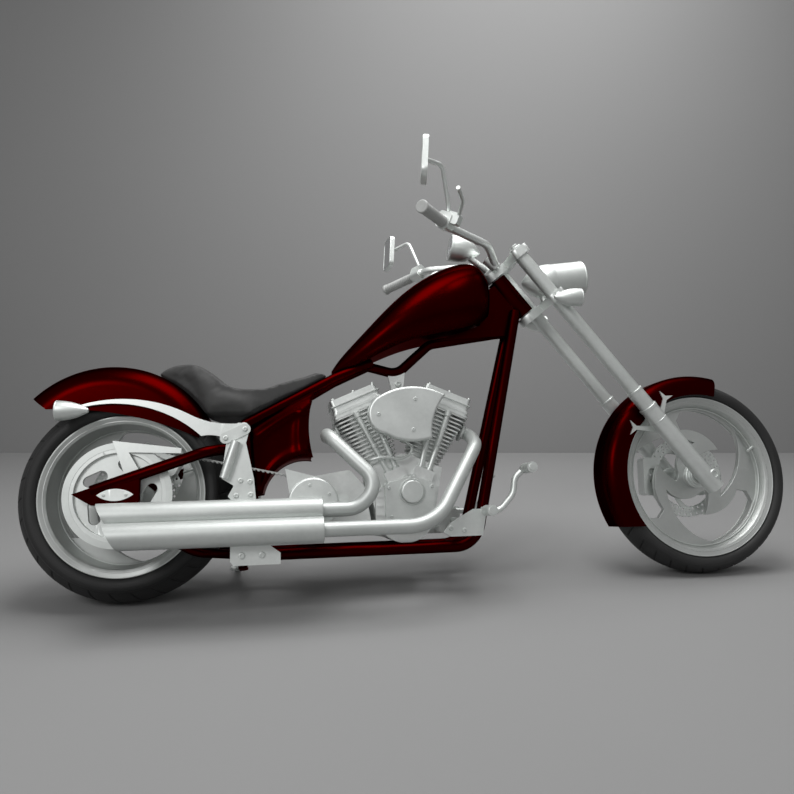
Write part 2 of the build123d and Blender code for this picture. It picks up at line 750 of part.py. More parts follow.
with BuildPart() as fuel_tank:
    for x, floor, crown, floor_half, flank_half in TANK_SECTIONS:
        rise = crown - floor
        shoulder = (0.62 * flank_half, crown - 0.16 * rise)
        with BuildSketch(Plane(origin=(x, 0, 0), x_dir=(0, 1, 0), z_dir=(1, 0, 0))):
            with BuildLine():
                Line((-floor_half, floor), (floor_half, floor))
                ThreePointArc((floor_half, floor), (flank_half, floor + 0.42 * rise), shoulder)
                ThreePointArc(shoulder, (0, crown), (-shoulder[0], shoulder[1]))
                ThreePointArc(
                    (-shoulder[0], shoulder[1]),
                    (-flank_half, floor + 0.42 * rise),
                    (-floor_half, floor),
                )
            make_face()
    loft()
    add(frame.part, mode=Mode.SUBTRACT)
    with BuildSketch(Plane(origin=(1052, 38, 1088), z_dir=(-0.42, 0.3, 0.86))):
        Circle(27)
    extrude(amount=80, mode=Mode.SUBTRACT)
fuel_tank.part.label = "fuel_tank"

# Filler cap, seated in its recess
with BuildPart() as fuel_cap:
    with BuildSketch(Plane(origin=(1052, 38, 1088), z_dir=(-0.42, 0.3, 0.86))):
        Circle(26.7)
    extrude(amount=32)
    fillet(fuel_cap.faces().sort_by(Axis.Z)[-1].edges(), radius=8)
fuel_cap.part.label = "fuel_cap"

# Seat: saddle on the fender's crown and the frame rails
SEAT_HALF_WIDTHS = (112.0, 138.0, 58.0)
RAIL_SLOPE = (RAIL_KNEE[1] - RAIL_REAR[1]) / (RAIL_KNEE[0] - RAIL_REAR[0])


def rail_top(x):
    """Height of the upper rails' top line, with a clearance."""
    lift = RAIL_RADIUS * sqrt(1 + RAIL_SLOPE**2) + 1.5
    return RAIL_REAR[1] + RAIL_SLOPE * (x - RAIL_REAR[0]) + lift


def seat_underside(angle):
    """Point just above the fender's crown."""
    return crown_point(angle, -CLEARANCE)


SEAT_REAR_ANGLE = degrees(asin((719.0 - FENDER_CENTRE[1]) / FENDER_RADIUS))
SEAT_FRONT_ANGLE = CROWN_FROM + 1.0

with BuildPart() as seat:
    with BuildSketch(side_plane(0)):
        with BuildLine():
            ThreePointArc(seat_underside(SEAT_REAR_ANGLE), (150, 748), (208, 749))
            ThreePointArc((208, 749), (262, 716), (300, 684))
            ThreePointArc((300, 684), (380, 660), (470, 680))
            Line((470, 680), (600, 727))
            ThreePointArc((600, 727), (630, 730), (640, rail_top(640) + 3))
            Line((640, rail_top(640) + 3), (640, rail_top(640)))
            Line((640, rail_top(640)), (380, rail_top(380)))
            Line((380, rail_top(380)), seat_underside(SEAT_FRONT_ANGLE))
            ThreePointArc(
                seat_underside(SEAT_FRONT_ANGLE),
                seat_underside((SEAT_FRONT_ANGLE + SEAT_REAR_ANGLE) / 2),
                seat_underside(SEAT_REAR_ANGLE),
            )
        make_face()
    extrude(amount=max(SEAT_HALF_WIDTHS), both=True)
    with BuildSketch(Plane.XY.offset(400)):
        with BuildLine():
            ThreePointArc((90, -90), (70, 0), (90, 90))
            ThreePointArc((90, 90), (250, SEAT_HALF_WIDTHS[0]), (390, SEAT_HALF_WIDTHS[1]))
            ThreePointArc((390, SEAT_HALF_WIDTHS[1]), (520, 100), (650, SEAT_HALF_WIDTHS[2]))
            Line((650, SEAT_HALF_WIDTHS[2]), (650, -SEAT_HALF_WIDTHS[2]))
            ThreePointArc((650, -SEAT_HALF_WIDTHS[2]), (520, -100), (390, -SEAT_HALF_WIDTHS[1]))
            ThreePointArc((390, -SEAT_HALF_WIDTHS[1]), (250, -SEAT_HALF_WIDTHS[0]), (90, -90))
        make_face()
    extrude(amount=400, mode=Mode.INTERSECT)
    add(frame.part, mode=Mode.SUBTRACT)
seat.part.label = "seat"

# Engine
REAR_BANK = -1
FRONT_BANK = 1
BANKS = (REAR_BANK, FRONT_BANK)
STACK_TOP = DECK_HEIGHT + FIN_STACK
DECK_HALF = FIN_HALF_LENGTHS[0] + 6


with BuildPart() as crankcase:
    with BuildSketch(side_plane(0)):
        with BuildLine():
            Polyline(
                (CRANK_X - CASE_RADIUS, CRANK_Z),
                flat(bank_point(REAR_BANK, -DECK_HALF, 0, DECK_HEIGHT)),
                flat(bank_point(REAR_BANK, DECK_HALF, 0, DECK_HEIGHT)),
                flat(bank_point(FRONT_BANK, -DECK_HALF, 0, DECK_HEIGHT)),
                flat(bank_point(FRONT_BANK, DECK_HALF, 0, DECK_HEIGHT)),
                (CRANK_X + CASE_RADIUS, CRANK_Z),
            )
            ThreePointArc(
                (CRANK_X + CASE_RADIUS, CRANK_Z),
                (CRANK_X, CRANK_Z - CASE_RADIUS),
                (CRANK_X - CASE_RADIUS, CRANK_Z),
            )
        make_face()
    extrude(amount=CASE_HALF_WIDTH, both=True)
crankcase.part.label = "crankcase"

with BuildPart() as cylinders:
    for side in BANKS:
        bank = bank_plane(side)
        with BuildSketch(bank.offset(DECK_HEIGHT)):
            RectangleRounded(
                2 * (FIN_HALF_LENGTHS[0] - FIN_DEPTH / 2),
                2 * (FIN_HALF_WIDTHS[0] - FIN_DEPTH / 2),
                20,
            )
        extrude(amount=FIN_STACK)
        for number in range(FIN_COUNT):
            share = number / (FIN_COUNT - 1)
            half_length = FIN_HALF_LENGTHS[0] + share * (FIN_HALF_LENGTHS[1] - FIN_HALF_LENGTHS[0])
            half_width = FIN_HALF_WIDTHS[0] + share * (FIN_HALF_WIDTHS[1] - FIN_HALF_WIDTHS[0])
            height = DECK_HEIGHT + 8 + share * (FIN_STACK - 8 - FIN_THICKNESS)
            with BuildSketch(bank.offset(height)):
                RectangleRounded(2 * half_length, 2 * half_width, 24)
            extrude(amount=FIN_THICKNESS)
cylinders.part.label = "cylinders"

with BuildPart() as rocker_boxes:
    for side in BANKS:
        bank = bank_plane(side)
        with BuildSketch(bank.offset(STACK_TOP)):
            RectangleRounded(ROCKER_LENGTH, ROCKER_WIDTH, 14)
        extrude(amount=0.35 * ROCKER_HEIGHT)
        with BuildSketch(bank.offset(STACK_TOP + 0.35 * ROCKER_HEIGHT)):
            RectangleRounded(ROCKER_LENGTH - 8, ROCKER_WIDTH - 8, 14)
        extrude(amount=0.65 * ROCKER_HEIGHT, taper=4)
rocker_boxes.part.label = "rocker_boxes"

# Cam cover on the right, with a peaked top and a round nose
CAM_COVER_THICKNESS = 34.0
NOSE_RADIUS = 38.0
NOSE = (900.0, 318.0)
CASE_RIGHT = -CASE_HALF_WIDTH

with BuildPart() as cam_cover:
    with BuildSketch(side_plane(CASE_RIGHT)):
        Polygon(
            (900, 376), (985, 345), (970, 240), (935, 190), (840, 190), (808, 232), (808, 345), align=None
        )
        fillet(vertices(), radius=12)
    extrude(amount=CAM_COVER_THICKNESS, taper=6)
    with BuildSketch(side_plane(CASE_RIGHT - CAM_COVER_THICKNESS)):
        with Locations(NOSE):
            Circle(NOSE_RADIUS)
    extrude(amount=16)
    fillet(cam_cover.faces().sort_by(Axis.Y)[0].edges(), radius=6)
cam_cover.part.label = "cam_cover"

# Pushrod tubes, two to each bank, from the cam cover's top to the rocker boxes
# Columns: bank, foot (x, z), distance along the rocker box
PUSHRODS = (
    (REAR_BANK, (838.0, 362.0), -20.0),
    (REAR_BANK, (862.0, 372.0), 34.0),
    (FRONT_BANK, (930.0, 372.0), -34.0),
    (FRONT_BANK, (954.0, 362.0), 20.0),
)
PUSHROD_Y = -FIN_HALF_WIDTHS[1] - PUSHROD_RADIUS - 2.0

with BuildPart() as pushrod_tubes:
    for side, foot, along in PUSHRODS:
        head = bank_point(side, along, 0, STACK_TOP)
        add(rod((foot[0], PUSHROD_Y, foot[1]), (head[0], PUSHROD_Y, head[2]), PUSHROD_RADIUS))
    add(cam_cover.part, mode=Mode.SUBTRACT)
    add(crankcase.part, mode=Mode.SUBTRACT)
    add(rocker_boxes.part, mode=Mode.SUBTRACT)
pushrod_tubes.part.label = "pushrod_tubes"

# Air cleaner: pointed oval cover on an intake throat between the banks
COVER_BACK = -132.0
COVER_DEPTH = 38.0
THROAT_RADIUS = 26.0
INTAKE = ((858.0, 516.0), (906.0, 562.0))

with BuildPart() as air_cleaner:
    with BuildSketch(side_plane(COVER_BACK)):
        with BuildLine():
            ThreePointArc((1014, 630), (895, 658), (790, 625))
            ThreePointArc((790, 625), (758, 560), (812, 503))
            ThreePointArc((812, 503), (890, 479), (964, 488))
            ThreePointArc((964, 488), (974, 560), (1014, 630))
        make_face()
    extrude(amount=COVER_DEPTH)
    fillet(air_cleaner.faces().sort_by(Axis.Y)[0].edges(), radius=8)
    middle = ((INTAKE[0][0] + INTAKE[1][0]) / 2, (INTAKE[0][1] + INTAKE[1][1]) / 2)
    add(rod((middle[0], 0, middle[1]), (middle[0], COVER_BACK, middle[1]), 0.85 * THROAT_RADIUS))
    with BuildSketch(side_plane(0)):
        with Locations(middle):
            Rectangle(INTAKE[1][0] - INTAKE[0][0], INTAKE[1][1] - INTAKE[0][1])
    extrude(amount=50, both=True)
air_cleaner.part.label = "air_cleaner"

# Engine top mount between the backbone and the intake
MOUNT_TOP = ((846, 735), (908, 735), (896, 650))

with BuildPart() as engine_mount:
    with BuildSketch(side_plane(0)):
        Polygon(*MOUNT_TOP, (892, INTAKE[1][1]), (872, INTAKE[1][1]), (864, 650), align=None)
    extrude(amount=9, both=True)
    add(frame.part, mode=Mode.SUBTRACT)
engine_mount.part.label = "engine_mount"

# Gearbox behind the engine, with the belt's drive pulley on its output shaft
GEARBOX_HALF_WIDTH = 88.0
OUTPUT_SHAFT_RADIUS = 18.0

with BuildPart() as gearbox:
    with BuildSketch(side_plane(0)):
        Polygon((505, 300), (545, 372), (700, 396), (748, 340), (770, 200), (560, 200), align=None)
        fillet(vertices(), radius=18)
    extrude(amount=GEARBOX_HALF_WIDTH, both=True)
    add(rod((DRIVE_X, 0, DRIVE_Z), (DRIVE_X, BELT_OUTER - 3, DRIVE_Z), OUTPUT_SHAFT_RADIUS))
    add(crankcase.part, mode=Mode.SUBTRACT)
gearbox.part.label = "gearbox"

with BuildPart() as drive_pulley:
    with BuildSketch(side_plane(BELT_INNER)):
        with Locations((DRIVE_X, DRIVE_Z)):
            Circle(DRIVE_PULLEY_RADIUS)
            Circle(OUTPUT_SHAFT_RADIUS, mode=Mode.SUBTRACT)
    extrude(amount=BELT_WIDTH)
drive_pulley.part.label = "drive_pulley"

# Belt: one closed loop just clear of both pulleys
PULLEYS = (
    (REAR.x, REAR.z, REAR_PULLEY_RADIUS),
    (DRIVE_X, DRIVE_Z, DRIVE_PULLEY_RADIUS),
)

with BuildPart() as drive_belt:
    with BuildSketch(side_plane(BELT_INNER)):
        for x, z, radius in PULLEYS:
            with Locations((x, z)):
                Circle(radius + BELT_CLEARANCE + BELT_THICKNESS)
        make_hull()
    extrude(amount=BELT_WIDTH)
    with BuildSketch(side_plane(BELT_INNER)):
        for x, z, radius in PULLEYS:
            with Locations((x, z)):
                Circle(radius + BELT_CLEARANCE)
        make_hull()
    extrude(amount=BELT_WIDTH, mode=Mode.SUBTRACT)
drive_belt.part.label = "drive_belt"

# Round pulley cover with its three-cornered plate
PULLEY_COVER_RADIUS = 78.0
PULLEY_COVER_INNER = BELT_OUTER - RUNNING_GAP

with BuildPart() as pulley_cover:
    with BuildSketch(side_plane(PULLEY_COVER_INNER)):
        Polygon((492, 398), (600, 368), (640, 300), (560, 232), (508, 300), align=None)
    extrude(amount=6)
    with BuildSketch(side_plane(PULLEY_COVER_INNER)):
        with Locations((DRIVE_X, DRIVE_Z - 5)):
            Circle(PULLEY_COVER_RADIUS)
    extrude(amount=16)
    fillet(pulley_cover.faces().sort_by(Axis.Y)[0].edges(), radius=6)
    add(rod((664, -GEARBOX_HALF_WIDTH, 300), (664, PULLEY_COVER_INNER, 300), 9))
    with BuildSketch(side_plane(PULLEY_COVER_INNER)):
        with Locations((650, 300)):
            RectangleRounded(72, 30, 10)
    extrude(amount=6)
pulley_cover.part.label = "pulley_cover"

# Belt guard blade above the rear pulley
GUARD_THICKNESS = 5.0

with BuildPart() as belt_guard:
    with BuildSketch(side_plane(BELT_OUTER - RUNNING_GAP)):
        Polygon((-18, 494), (182, 468), (182, 452), (30, 458), (64, 398), (22, 384), align=None)
    extrude(amount=GUARD_THICKNESS)
    add(swingarm.part, mode=Mode.SUBTRACT)
belt_guard.part.label = "belt_guard"

# Primary cover on the left
PRIMARY_DEPTH = 62.0

with BuildPart() as primary_cover:
    with BuildSketch(side_plane(GEARBOX_HALF_WIDTH + PRIMARY_DEPTH)):
        with Locations((CRANK_X, CRANK_Z)):
            Circle(92)
        with Locations((615, 290)):
            Circle(84)
        make_hull()
    extrude(amount=PRIMARY_DEPTH)
    fillet(primary_cover.faces().sort_by(Axis.Y)[-1].edges(), radius=14)
    with BuildSketch(side_plane(GEARBOX_HALF_WIDTH)):
        with Locations((CRANK_X, CRANK_Z)):
            Circle(70)
    extrude(amount=GEARBOX_HALF_WIDTH - CASE_HALF_WIDTH)
primary_cover.part.label = "primary_cover"

# Exhaust headers: one from each cylinder's outer side to its muffler
PORT_HEIGHT = 330.0
PORT_OUT = 90.0
FRONT_PORT = bank_point(FRONT_BANK, PORT_OUT, -15, PORT_HEIGHT)
FRONT_ELBOW = bank_point(FRONT_BANK, PORT_OUT + 42, -15, PORT_HEIGHT)
REAR_PORT = bank_point(REAR_BANK, -PORT_OUT, -15, PORT_HEIGHT)
REAR_ELBOW = bank_point(REAR_BANK, -PORT_OUT - 42, -15, PORT_HEIGHT)

with BuildPart() as exhaust_headers:
    add(
        bent_tube(
            (
                FRONT_PORT,
                FRONT_ELBOW,
                (1105, -175, 462),
                (935, LOWER_MUFFLER[0], LOWER_MUFFLER[1]),
                (MUFFLER_FRONT, LOWER_MUFFLER[0], LOWER_MUFFLER[1]),
            ),
            (32, 90, 150),
            HEADER_RADIUS,
        )
    )
    add(
        bent_tube(
            (
                REAR_PORT,
                REAR_ELBOW,
                (622, -170, 505),
                (778, UPPER_MUFFLER[0], 342),
                (708, UPPER_MUFFLER[0], UPPER_MUFFLER[1]),
                (MUFFLER_FRONT, UPPER_MUFFLER[0], UPPER_MUFFLER[1]),
            ),
            (32, 60, 60, 80),
            HEADER_RADIUS,
        )
    )
    add(cylinders.part, mode=Mode.SUBTRACT)
exhaust_headers.part.label = "exhaust_headers"

# Slash-cut mufflers, open at the back
MUFFLER_OPEN_DEPTH = 180.0
slash = Plane(
    origin=(SLASH_TOP[0], 0, SLASH_TOP[1]),
    x_dir=(0, 1, 0),
    z_dir=(SLASH_TOP[1] - SLASH_BOTTOM[1], 0, SLASH_BOTTOM[0] - SLASH_TOP[0]),
)

with BuildPart() as mufflers:
    for y, z in (UPPER_MUFFLER, LOWER_MUFFLER):
        with BuildSketch(Plane(origin=(MUFFLER_FRONT, y, z), z_dir=(-1, 0, 0))):
            Circle(MUFFLER_RADIUS - CLEARANCE)
        extrude(amount=MUFFLER_FRONT + 120)
        with BuildSketch(Plane(origin=(-120, y, z), z_dir=(1, 0, 0))):
            Circle(MUFFLER_BORE)
        extrude(amount=120 + MUFFLER_OPEN_DEPTH, mode=Mode.SUBTRACT)
    split(bisect_by=slash, keep=Keep.TOP)
mufflers.part.label = "mufflers"

# Exhaust bracket on the right-hand lower rail
BRACKET_Y = -262.0
BRACKET_BOLTS = ((372.0, 138.0), (425.0, 138.0))

with BuildPart() as exhaust_bracket:
    with BuildSketch(side_plane(BRACKET_Y)):
        Polygon((335, 178), (335, 130), (345, 118), (478, 118), (478, 150), (440, 178), align=None)
    extrude(amount=7)
    for x, z in BRACKET_BOLTS:
        add(rod((x, -CRADLE_HALF_WIDTH, z), (x, BRACKET_Y, z), 8))
    add(cradle.part, mode=Mode.SUBTRACT)
    add(mufflers.part, mode=Mode.SUBTRACT)
exhaust_bracket.part.label = "exhaust_bracket"

# Foot controls: a plate on the lower rail, a peg, and a pedal on a curved arm
CONTROL_INNER = -118.0
CONTROL_THICKNESS = 10.0
PEG_OUT = 95.0
PEG_RING = 17.0
PEDAL_ARM = ((1112.0, 252.0), (1172.0, 246.0), (1222.0, 300.0), (1230.0, 352.0), (1264.0, 380.0))
PEDAL_BENDS = (40, 60, 34)
PEDAL_ARM_RADIUS = 10.0


def make_foot_controls():
    """Right-hand foot controls."""
    outer = CONTROL_INNER - 50 - CONTROL_THICKNESS
    with BuildPart() as controls:
        with BuildSketch(side_plane(CONTROL_INNER - 50)):
            Polygon((985, 186), (1008, 172), (1112, 172), (1130, 256), (1085, 256), (1010, 215), align=None)
        extrude(amount=CONTROL_THICKNESS)
        add(rod((1040, -CRADLE_HALF_WIDTH, 190), (1040, CONTROL_INNER - 50, 190), 12))
        add(rod((1100, -CRADLE_HALF_WIDTH, 215), (1100, CONTROL_INNER - 50, 215), 12))
        add(rod((1122, outer, 250), (1122, outer - PEG_OUT, 250), 12))
        for step in range(5):
            start = outer - 22 - step * 15
            add(rod((1122, start, 250), (1122, start - 9, 250), PEG_RING))
        add(
            bent_tube(
                [(x, outer + CONTROL_THICKNESS / 2, z) for x, z in PEDAL_ARM],
                PEDAL_BENDS,
                PEDAL_ARM_RADIUS,
            )
        )
        add(rod((1258, outer + 6, 380), (1258, outer - PEG_OUT, 380), 10))
        for step in range(5):
            start = outer - 22 - step * 15
            add(rod((1258, start, 380), (1258, start - 9, 380), PEG_RING))
    return controls.part


with BuildPart() as foot_controls:
    add(make_foot_controls())
    mirror(about=Plane.XZ)
    add(cradle.part, mode=Mode.SUBTRACT)
foot_controls.part.label = "foot_controls"

# Rear brake caliper on the left arm
CALIPER_LENGTH = 138.0
CALIPER_WINDOW = (34.0, 58.0)
CALIPER_IN = 112.0
CALIPER_OUT = 176.0


def make_caliper(wheel, angle, inner, outer):
    """Block caliper over the disc's edge, with a slot for the disc."""
    slot_from = wheel.hub_left - 3.0
    slot_to = wheel.hub_left + ROTOR_THICKNESS + 3.0
    along = Plane(
        origin=(wheel.x, outer, wheel.z),
        x_dir=(cos(radians(angle)), 0, sin(radians(angle))),
        z_dir=(0, -1, 0),
    )
    with BuildPart() as caliper:
        with BuildSketch(along):
            with Locations(((CALIPER_IN + CALIPER_OUT) / 2, 0)):
                RectangleRounded(CALIPER_OUT - CALIPER_IN, CALIPER_LENGTH, 14)
            with Locations((CALIPER_IN + 0.7 * CALIPER_WINDOW[0], 0)):
                RectangleRounded(*CALIPER_WINDOW, 8, mode=Mode.SUBTRACT)
        extrude(amount=outer - inner)
        with BuildSketch(wheel_plane(wheel, slot_to)):
            Circle(ROTOR_RADIUS + 5)
        extrude(amount=slot_to - slot_from, mode=Mode.SUBTRACT)
    return caliper.part


with BuildPart() as rear_caliper:
    add(make_caliper(REAR, 60, REAR.hub_left - 24, REAR.hub_left + 40))
    add(rod((78, REAR.hub_left + 20, 455), (78, ARM_OFFSET, 402), 10))
    add(swingarm.part, mode=Mode.SUBTRACT)
rear_caliper.part.label = "rear_caliper"

# Fork: clamps, tubes, sliders, axle
with BuildPart() as upper_clamp:
    with BuildSketch(FORK.offset(UPPER_CLAMP_AT)):
        with Locations((LEG, 0)):
            RectangleRounded(CLAMP_DEPTH, 2 * (LEG_HALF_SPACING + CLAMP_END), 14)
        with Locations(((LEG + STEM) / 2, 0)):
            Rectangle(STEM_TO_LEGS, 2 * HEAD_RADIUS)
        with Locations((STEM, 0)):
            Circle(HEAD_RADIUS)
        with Locations((LEG, LEG_HALF_SPACING), (LEG, -LEG_HALF_SPACING)):
            Circle(FORK_TUBE_RADIUS, mode=Mode.SUBTRACT)
    extrude(amount=CLAMP_HEIGHT)
upper_clamp.part.label = "upper_clamp"

with BuildPart() as lower_clamp:
    with BuildSketch(FORK.offset(LOWER_CLAMP_AT)):
        with Locations((LEG, 0)):
            RectangleRounded(CLAMP_DEPTH, 2 * (LEG_HALF_SPACING + CLAMP_END), 14)
        with Locations(((LEG + STEM) / 2, 0)):
            Rectangle(STEM_TO_LEGS, 2 * HEAD_RADIUS)
        with Locations((STEM, 0)):
            Circle(HEAD_RADIUS)
        with Locations((LEG, LEG_HALF_SPACING), (LEG, -LEG_HALF_SPACING)):
            Circle(FORK_TUBE_RADIUS, mode=Mode.SUBTRACT)
    extrude(amount=CLAMP_HEIGHT)
    with BuildSketch(FORK.offset(LOWER_CLAMP_AT + CLAMP_HEIGHT)):
        with Locations((STEM, 0)):
            Circle(STEM_RADIUS - CLEARANCE)
    extrude(amount=UPPER_CLAMP_AT - LOWER_CLAMP_AT - CLAMP_HEIGHT)
lower_clamp.part.label = "lower_clamp"

SLIDER_TOP = SLIDER_LENGTH - SLIDER_BELOW_AXLE
COLLAR_TOP = SLIDER_TOP + COLLAR_LENGTH

with BuildPart() as fork_tubes:
    for way in (1, -1):
        add(
            rod(
                fork_point(LEG, way * LEG_HALF_SPACING, COLLAR_TOP),
                fork_point(LEG, way * LEG_HALF_SPACING, FORK_TOP),
                FORK_TUBE_RADIUS,
            )
        )
fork_tubes.part.label = "fork_tubes"

with BuildPart() as fork_sliders:
    for way in (1, -1):
        y = way * LEG_HALF_SPACING
        add(rod(fork_point(LEG, y, -SLIDER_BELOW_AXLE), fork_point(LEG, y, SLIDER_TOP), SLIDER_RADIUS))
        add(rod(fork_point(LEG, y, SLIDER_TOP), fork_point(LEG, y, COLLAR_TOP), COLLAR_RADIUS))
    add(rod((FRONT.x, -200, FRONT.z), (FRONT.x, 200, FRONT.z), AXLE_RADIUS), mode=Mode.SUBTRACT)
fork_sliders.part.label = "fork_sliders"

AXLE_SPACER = LEG_HALF_SPACING - SLIDER_RADIUS + 6.0

with BuildPart() as front_axle:
    axle_end = LEG_HALF_SPACING + 20
    rotor_face = FRONT.hub_left + ROTOR_THICKNESS + 2
    add(rod((FRONT.x, -axle_end, FRONT.z), (FRONT.x, axle_end, FRONT.z), AXLE_RADIUS))
    for near, far in ((FRONT.hub_right - 2, -AXLE_SPACER), (rotor_face, AXLE_SPACER)):
        add(rod((FRONT.x, near, FRONT.z), (FRONT.x, far, FRONT.z), SPACER_RADIUS))
    add(fork_sliders.part, mode=Mode.SUBTRACT)
front_axle.part.label = "front_axle"

# Front fender, concentric with the wheel, cut level at the back
FRONT_FENDER_RADIUS = 367.0
FRONT_FENDER_SKIRT = 292.0
FRONT_FENDER_FILLET = 44.0
FRONT_FENDER_FROM = 76.0
FRONT_FENDER_SWEEP = 142.0
FRONT_FENDER_CUT = 176.0

with BuildPart() as front_fender:
    half, skirt, top = FRONT_FENDER_HALF_WIDTH, FRONT_FENDER_SKIRT, FRONT_FENDER_RADIUS
    with BuildSketch(axle_plane(FRONT, FRONT_FENDER_FROM)):
        with BuildLine():
            FilletPolyline(
                (-half, skirt),
                (-half, top),
                (half, top),
                (half, skirt),
                radius=FRONT_FENDER_FILLET,
            )
            FilletPolyline(
                (half - SHEET, skirt),
                (half - SHEET, top - SHEET),
                (SHEET - half, top - SHEET),
                (SHEET - half, skirt),
                radius=FRONT_FENDER_FILLET - SHEET,
            )
            Line((half, skirt), (half - SHEET, skirt))
            Line((-half, skirt), (SHEET - half, skirt))
        make_face()
    revolve(axis=axle_axis(FRONT), revolution_arc=FRONT_FENDER_SWEEP)
    split(bisect_by=Plane.XY.offset(FRONT_FENDER_CUT), keep=Keep.TOP)
front_fender.part.label = "front_fender"

# Forked fender brackets between the sliders and the fender's sides
# Columns: angle on the wheel, place along the slider
BRACKETS = ((113.0, 236.0), (146.0, 224.0))
BRACKET_THICKNESS = FENDER_TO_SLIDER + 2.0

with BuildPart() as fender_brackets:
    for angle, up in BRACKETS:
        side, height = polar(FRONT_FENDER_SKIRT + 20, angle)
        start = fork_point(LEG, -LEG_HALF_SPACING, up)
        foot = Vector(start[0], start[2])
        tip = Vector(FRONT.x + side, FRONT.z + height)
        outward = (tip - foot).normalized()
        across = Vector(-outward.Y, outward.X)
        outline = (
            foot + across * 10,
            tip - outward * 14 + across * 7,
            tip + outward * 10 + across * 26,
            tip,
            tip + outward * 10 - across * 26,
            tip - outward * 14 - across * 7,
            foot - across * 10,
        )
        with BuildSketch(side_plane(-FRONT_FENDER_HALF_WIDTH)):
            Polygon(*[(point.X, point.Y) for point in outline], align=None)
        extrude(amount=BRACKET_THICKNESS)
    mirror(about=Plane.XZ)
    add(fork_sliders.part, mode=Mode.SUBTRACT)
fender_brackets.part.label = "fender_brackets"

with BuildPart() as front_caliper:
    add(make_caliper(FRONT, 178, FRONT.hub_left - 22, FRONT.hub_left + 24))
    add(rod((1822, FRONT.hub_left + 18, 385), fork_point(LEG, LEG_HALF_SPACING - 8, 105), 10))
    add(rod((1822, FRONT.hub_left + 18, 330), fork_point(LEG, LEG_HALF_SPACING - 8, 60), 10))
    add(fork_sliders.part, mode=Mode.SUBTRACT)
front_caliper.part.label = "front_caliper"

# Headlamp: bullet shell on a post from the lower clamp
LAMP_TAIL = (1362.0, 1072.0)
LAMP_FACE = (1591.0, 1097.0)
LAMP_RADIUS = 64.0
LAMP_NOSE = 6.0
lamp_run = Vector(LAMP_FACE[0] - LAMP_TAIL[0], 0, LAMP_FACE[1] - LAMP_TAIL[1])
lamp_plane = Plane(
    origin=(LAMP_TAIL[0], 0, LAMP_TAIL[1]),
    x_dir=lamp_run,
    z_dir=(0, -1, 0),
)

with BuildPart() as headlamp:
    with BuildSketch(lamp_plane):
        with BuildLine():
            ThreePointArc(
                (0, LAMP_NOSE),
                (0.15 * lamp_run.length, 0.68 * LAMP_RADIUS),
                (0.50 * lamp_run.length, 0.98 * LAMP_RADIUS),
            )
            Line((0.50 * lamp_run.length, 0.98 * LAMP_RADIUS), (lamp_run.length, LAMP_RADIUS))
            Line((lamp_run.length, LAMP_RADIUS), (lamp_run.length, 0))
            Line((lamp_run.length, 0), (0, 0))
            Line((0, 0), (0, LAMP_NOSE))
        make_face()
    revolve(axis=Axis((LAMP_TAIL[0], 0, LAMP_TAIL[1]), lamp_run))
    add(rod((1440, 0, 1072), fork_point(LEG + 12, 0, LOWER_CLAMP_AT + CLAMP_HEIGHT - 4), 14))
    add(lower_clamp.part, mode=Mode.SUBTRACT)
headlamp.part.label = "headlamp"

# Front indicators: bullets on stalks from the lower clamp's ends
INDICATOR_RADIUS = 30.0
INDICATOR_LENGTH = 93.0
INDICATOR_NOSE = 5.0
INDICATOR_SETBACK = 34.0
INDICATOR_Y = LEG_HALF_SPACING + CLAMP_END + INDICATOR_RADIUS - 3.0

with BuildPart() as front_indicators:
    stalk_up = LOWER_CLAMP_AT + CLAMP_HEIGHT / 2
    back, axis = flat(fork_point(LEG - INDICATOR_SETBACK, -INDICATOR_Y, stalk_up))
    face = back + INDICATOR_LENGTH
    with BuildSketch(side_plane(-INDICATOR_Y)):
        with BuildLine():
            ThreePointArc(
                (back, axis + INDICATOR_NOSE),
                (back + 0.33 * INDICATOR_LENGTH, axis + 0.76 * INDICATOR_RADIUS),
                (face, axis + INDICATOR_RADIUS),
            )
            Line((face, axis + INDICATOR_RADIUS), (face, axis))
            Line((face, axis), (back, axis))
            Line((back, axis), (back, axis + INDICATOR_NOSE))
        make_face()
    revolve(axis=Axis((back, -INDICATOR_Y, axis), (1, 0, 0)))
    add(rod((back + 24, -INDICATOR_Y, axis), fork_point(LEG, -LEG_HALF_SPACING - 30, stalk_up), 9))
    mirror(about=Plane.XZ)
    add(lower_clamp.part, mode=Mode.SUBTRACT)
    add(fork_tubes.part, mode=Mode.SUBTRACT)
front_indicators.part.label = "front_indicators"

# Handlebar on two risers
BAR_RADIUS = 14.0
RISER_Y = 45.0
GRIP_OUTER = (922.0, 386.0, 1176.0)
BAR_FOOT = fork_point(STEM + 12, -RISER_Y, UPPER_CLAMP_AT + CLAMP_HEIGHT)
BAR_SHOULDER = (1205.0, -110.0, 1174.0)
BAR_ELBOW = (1052.0, -205.0, 1192.0)
GRIP_START = 0.36

with BuildPart() as handlebar:
    add(
        bent_tube(
            (
                BAR_FOOT,
                BAR_SHOULDER,
                BAR_ELBOW,
                (GRIP_OUTER[0], -GRIP_OUTER[1], GRIP_OUTER[2]),
            ),
            (70, 80),
            BAR_RADIUS,
        )
    )
    add(rod(BAR_FOOT, fork_point(STEM + 4, -RISER_Y, UPPER_CLAMP_AT + CLAMP_HEIGHT + 48), 20))
    mirror(about=Plane.XZ)
    add(upper_clamp.part, mode=Mode.SUBTRACT)
    add(fork_tubes.part, mode=Mode.SUBTRACT)
handlebar.part.label = "handlebar"

# Grips over the bar's ends
GRIP_RADIUS = 19.0

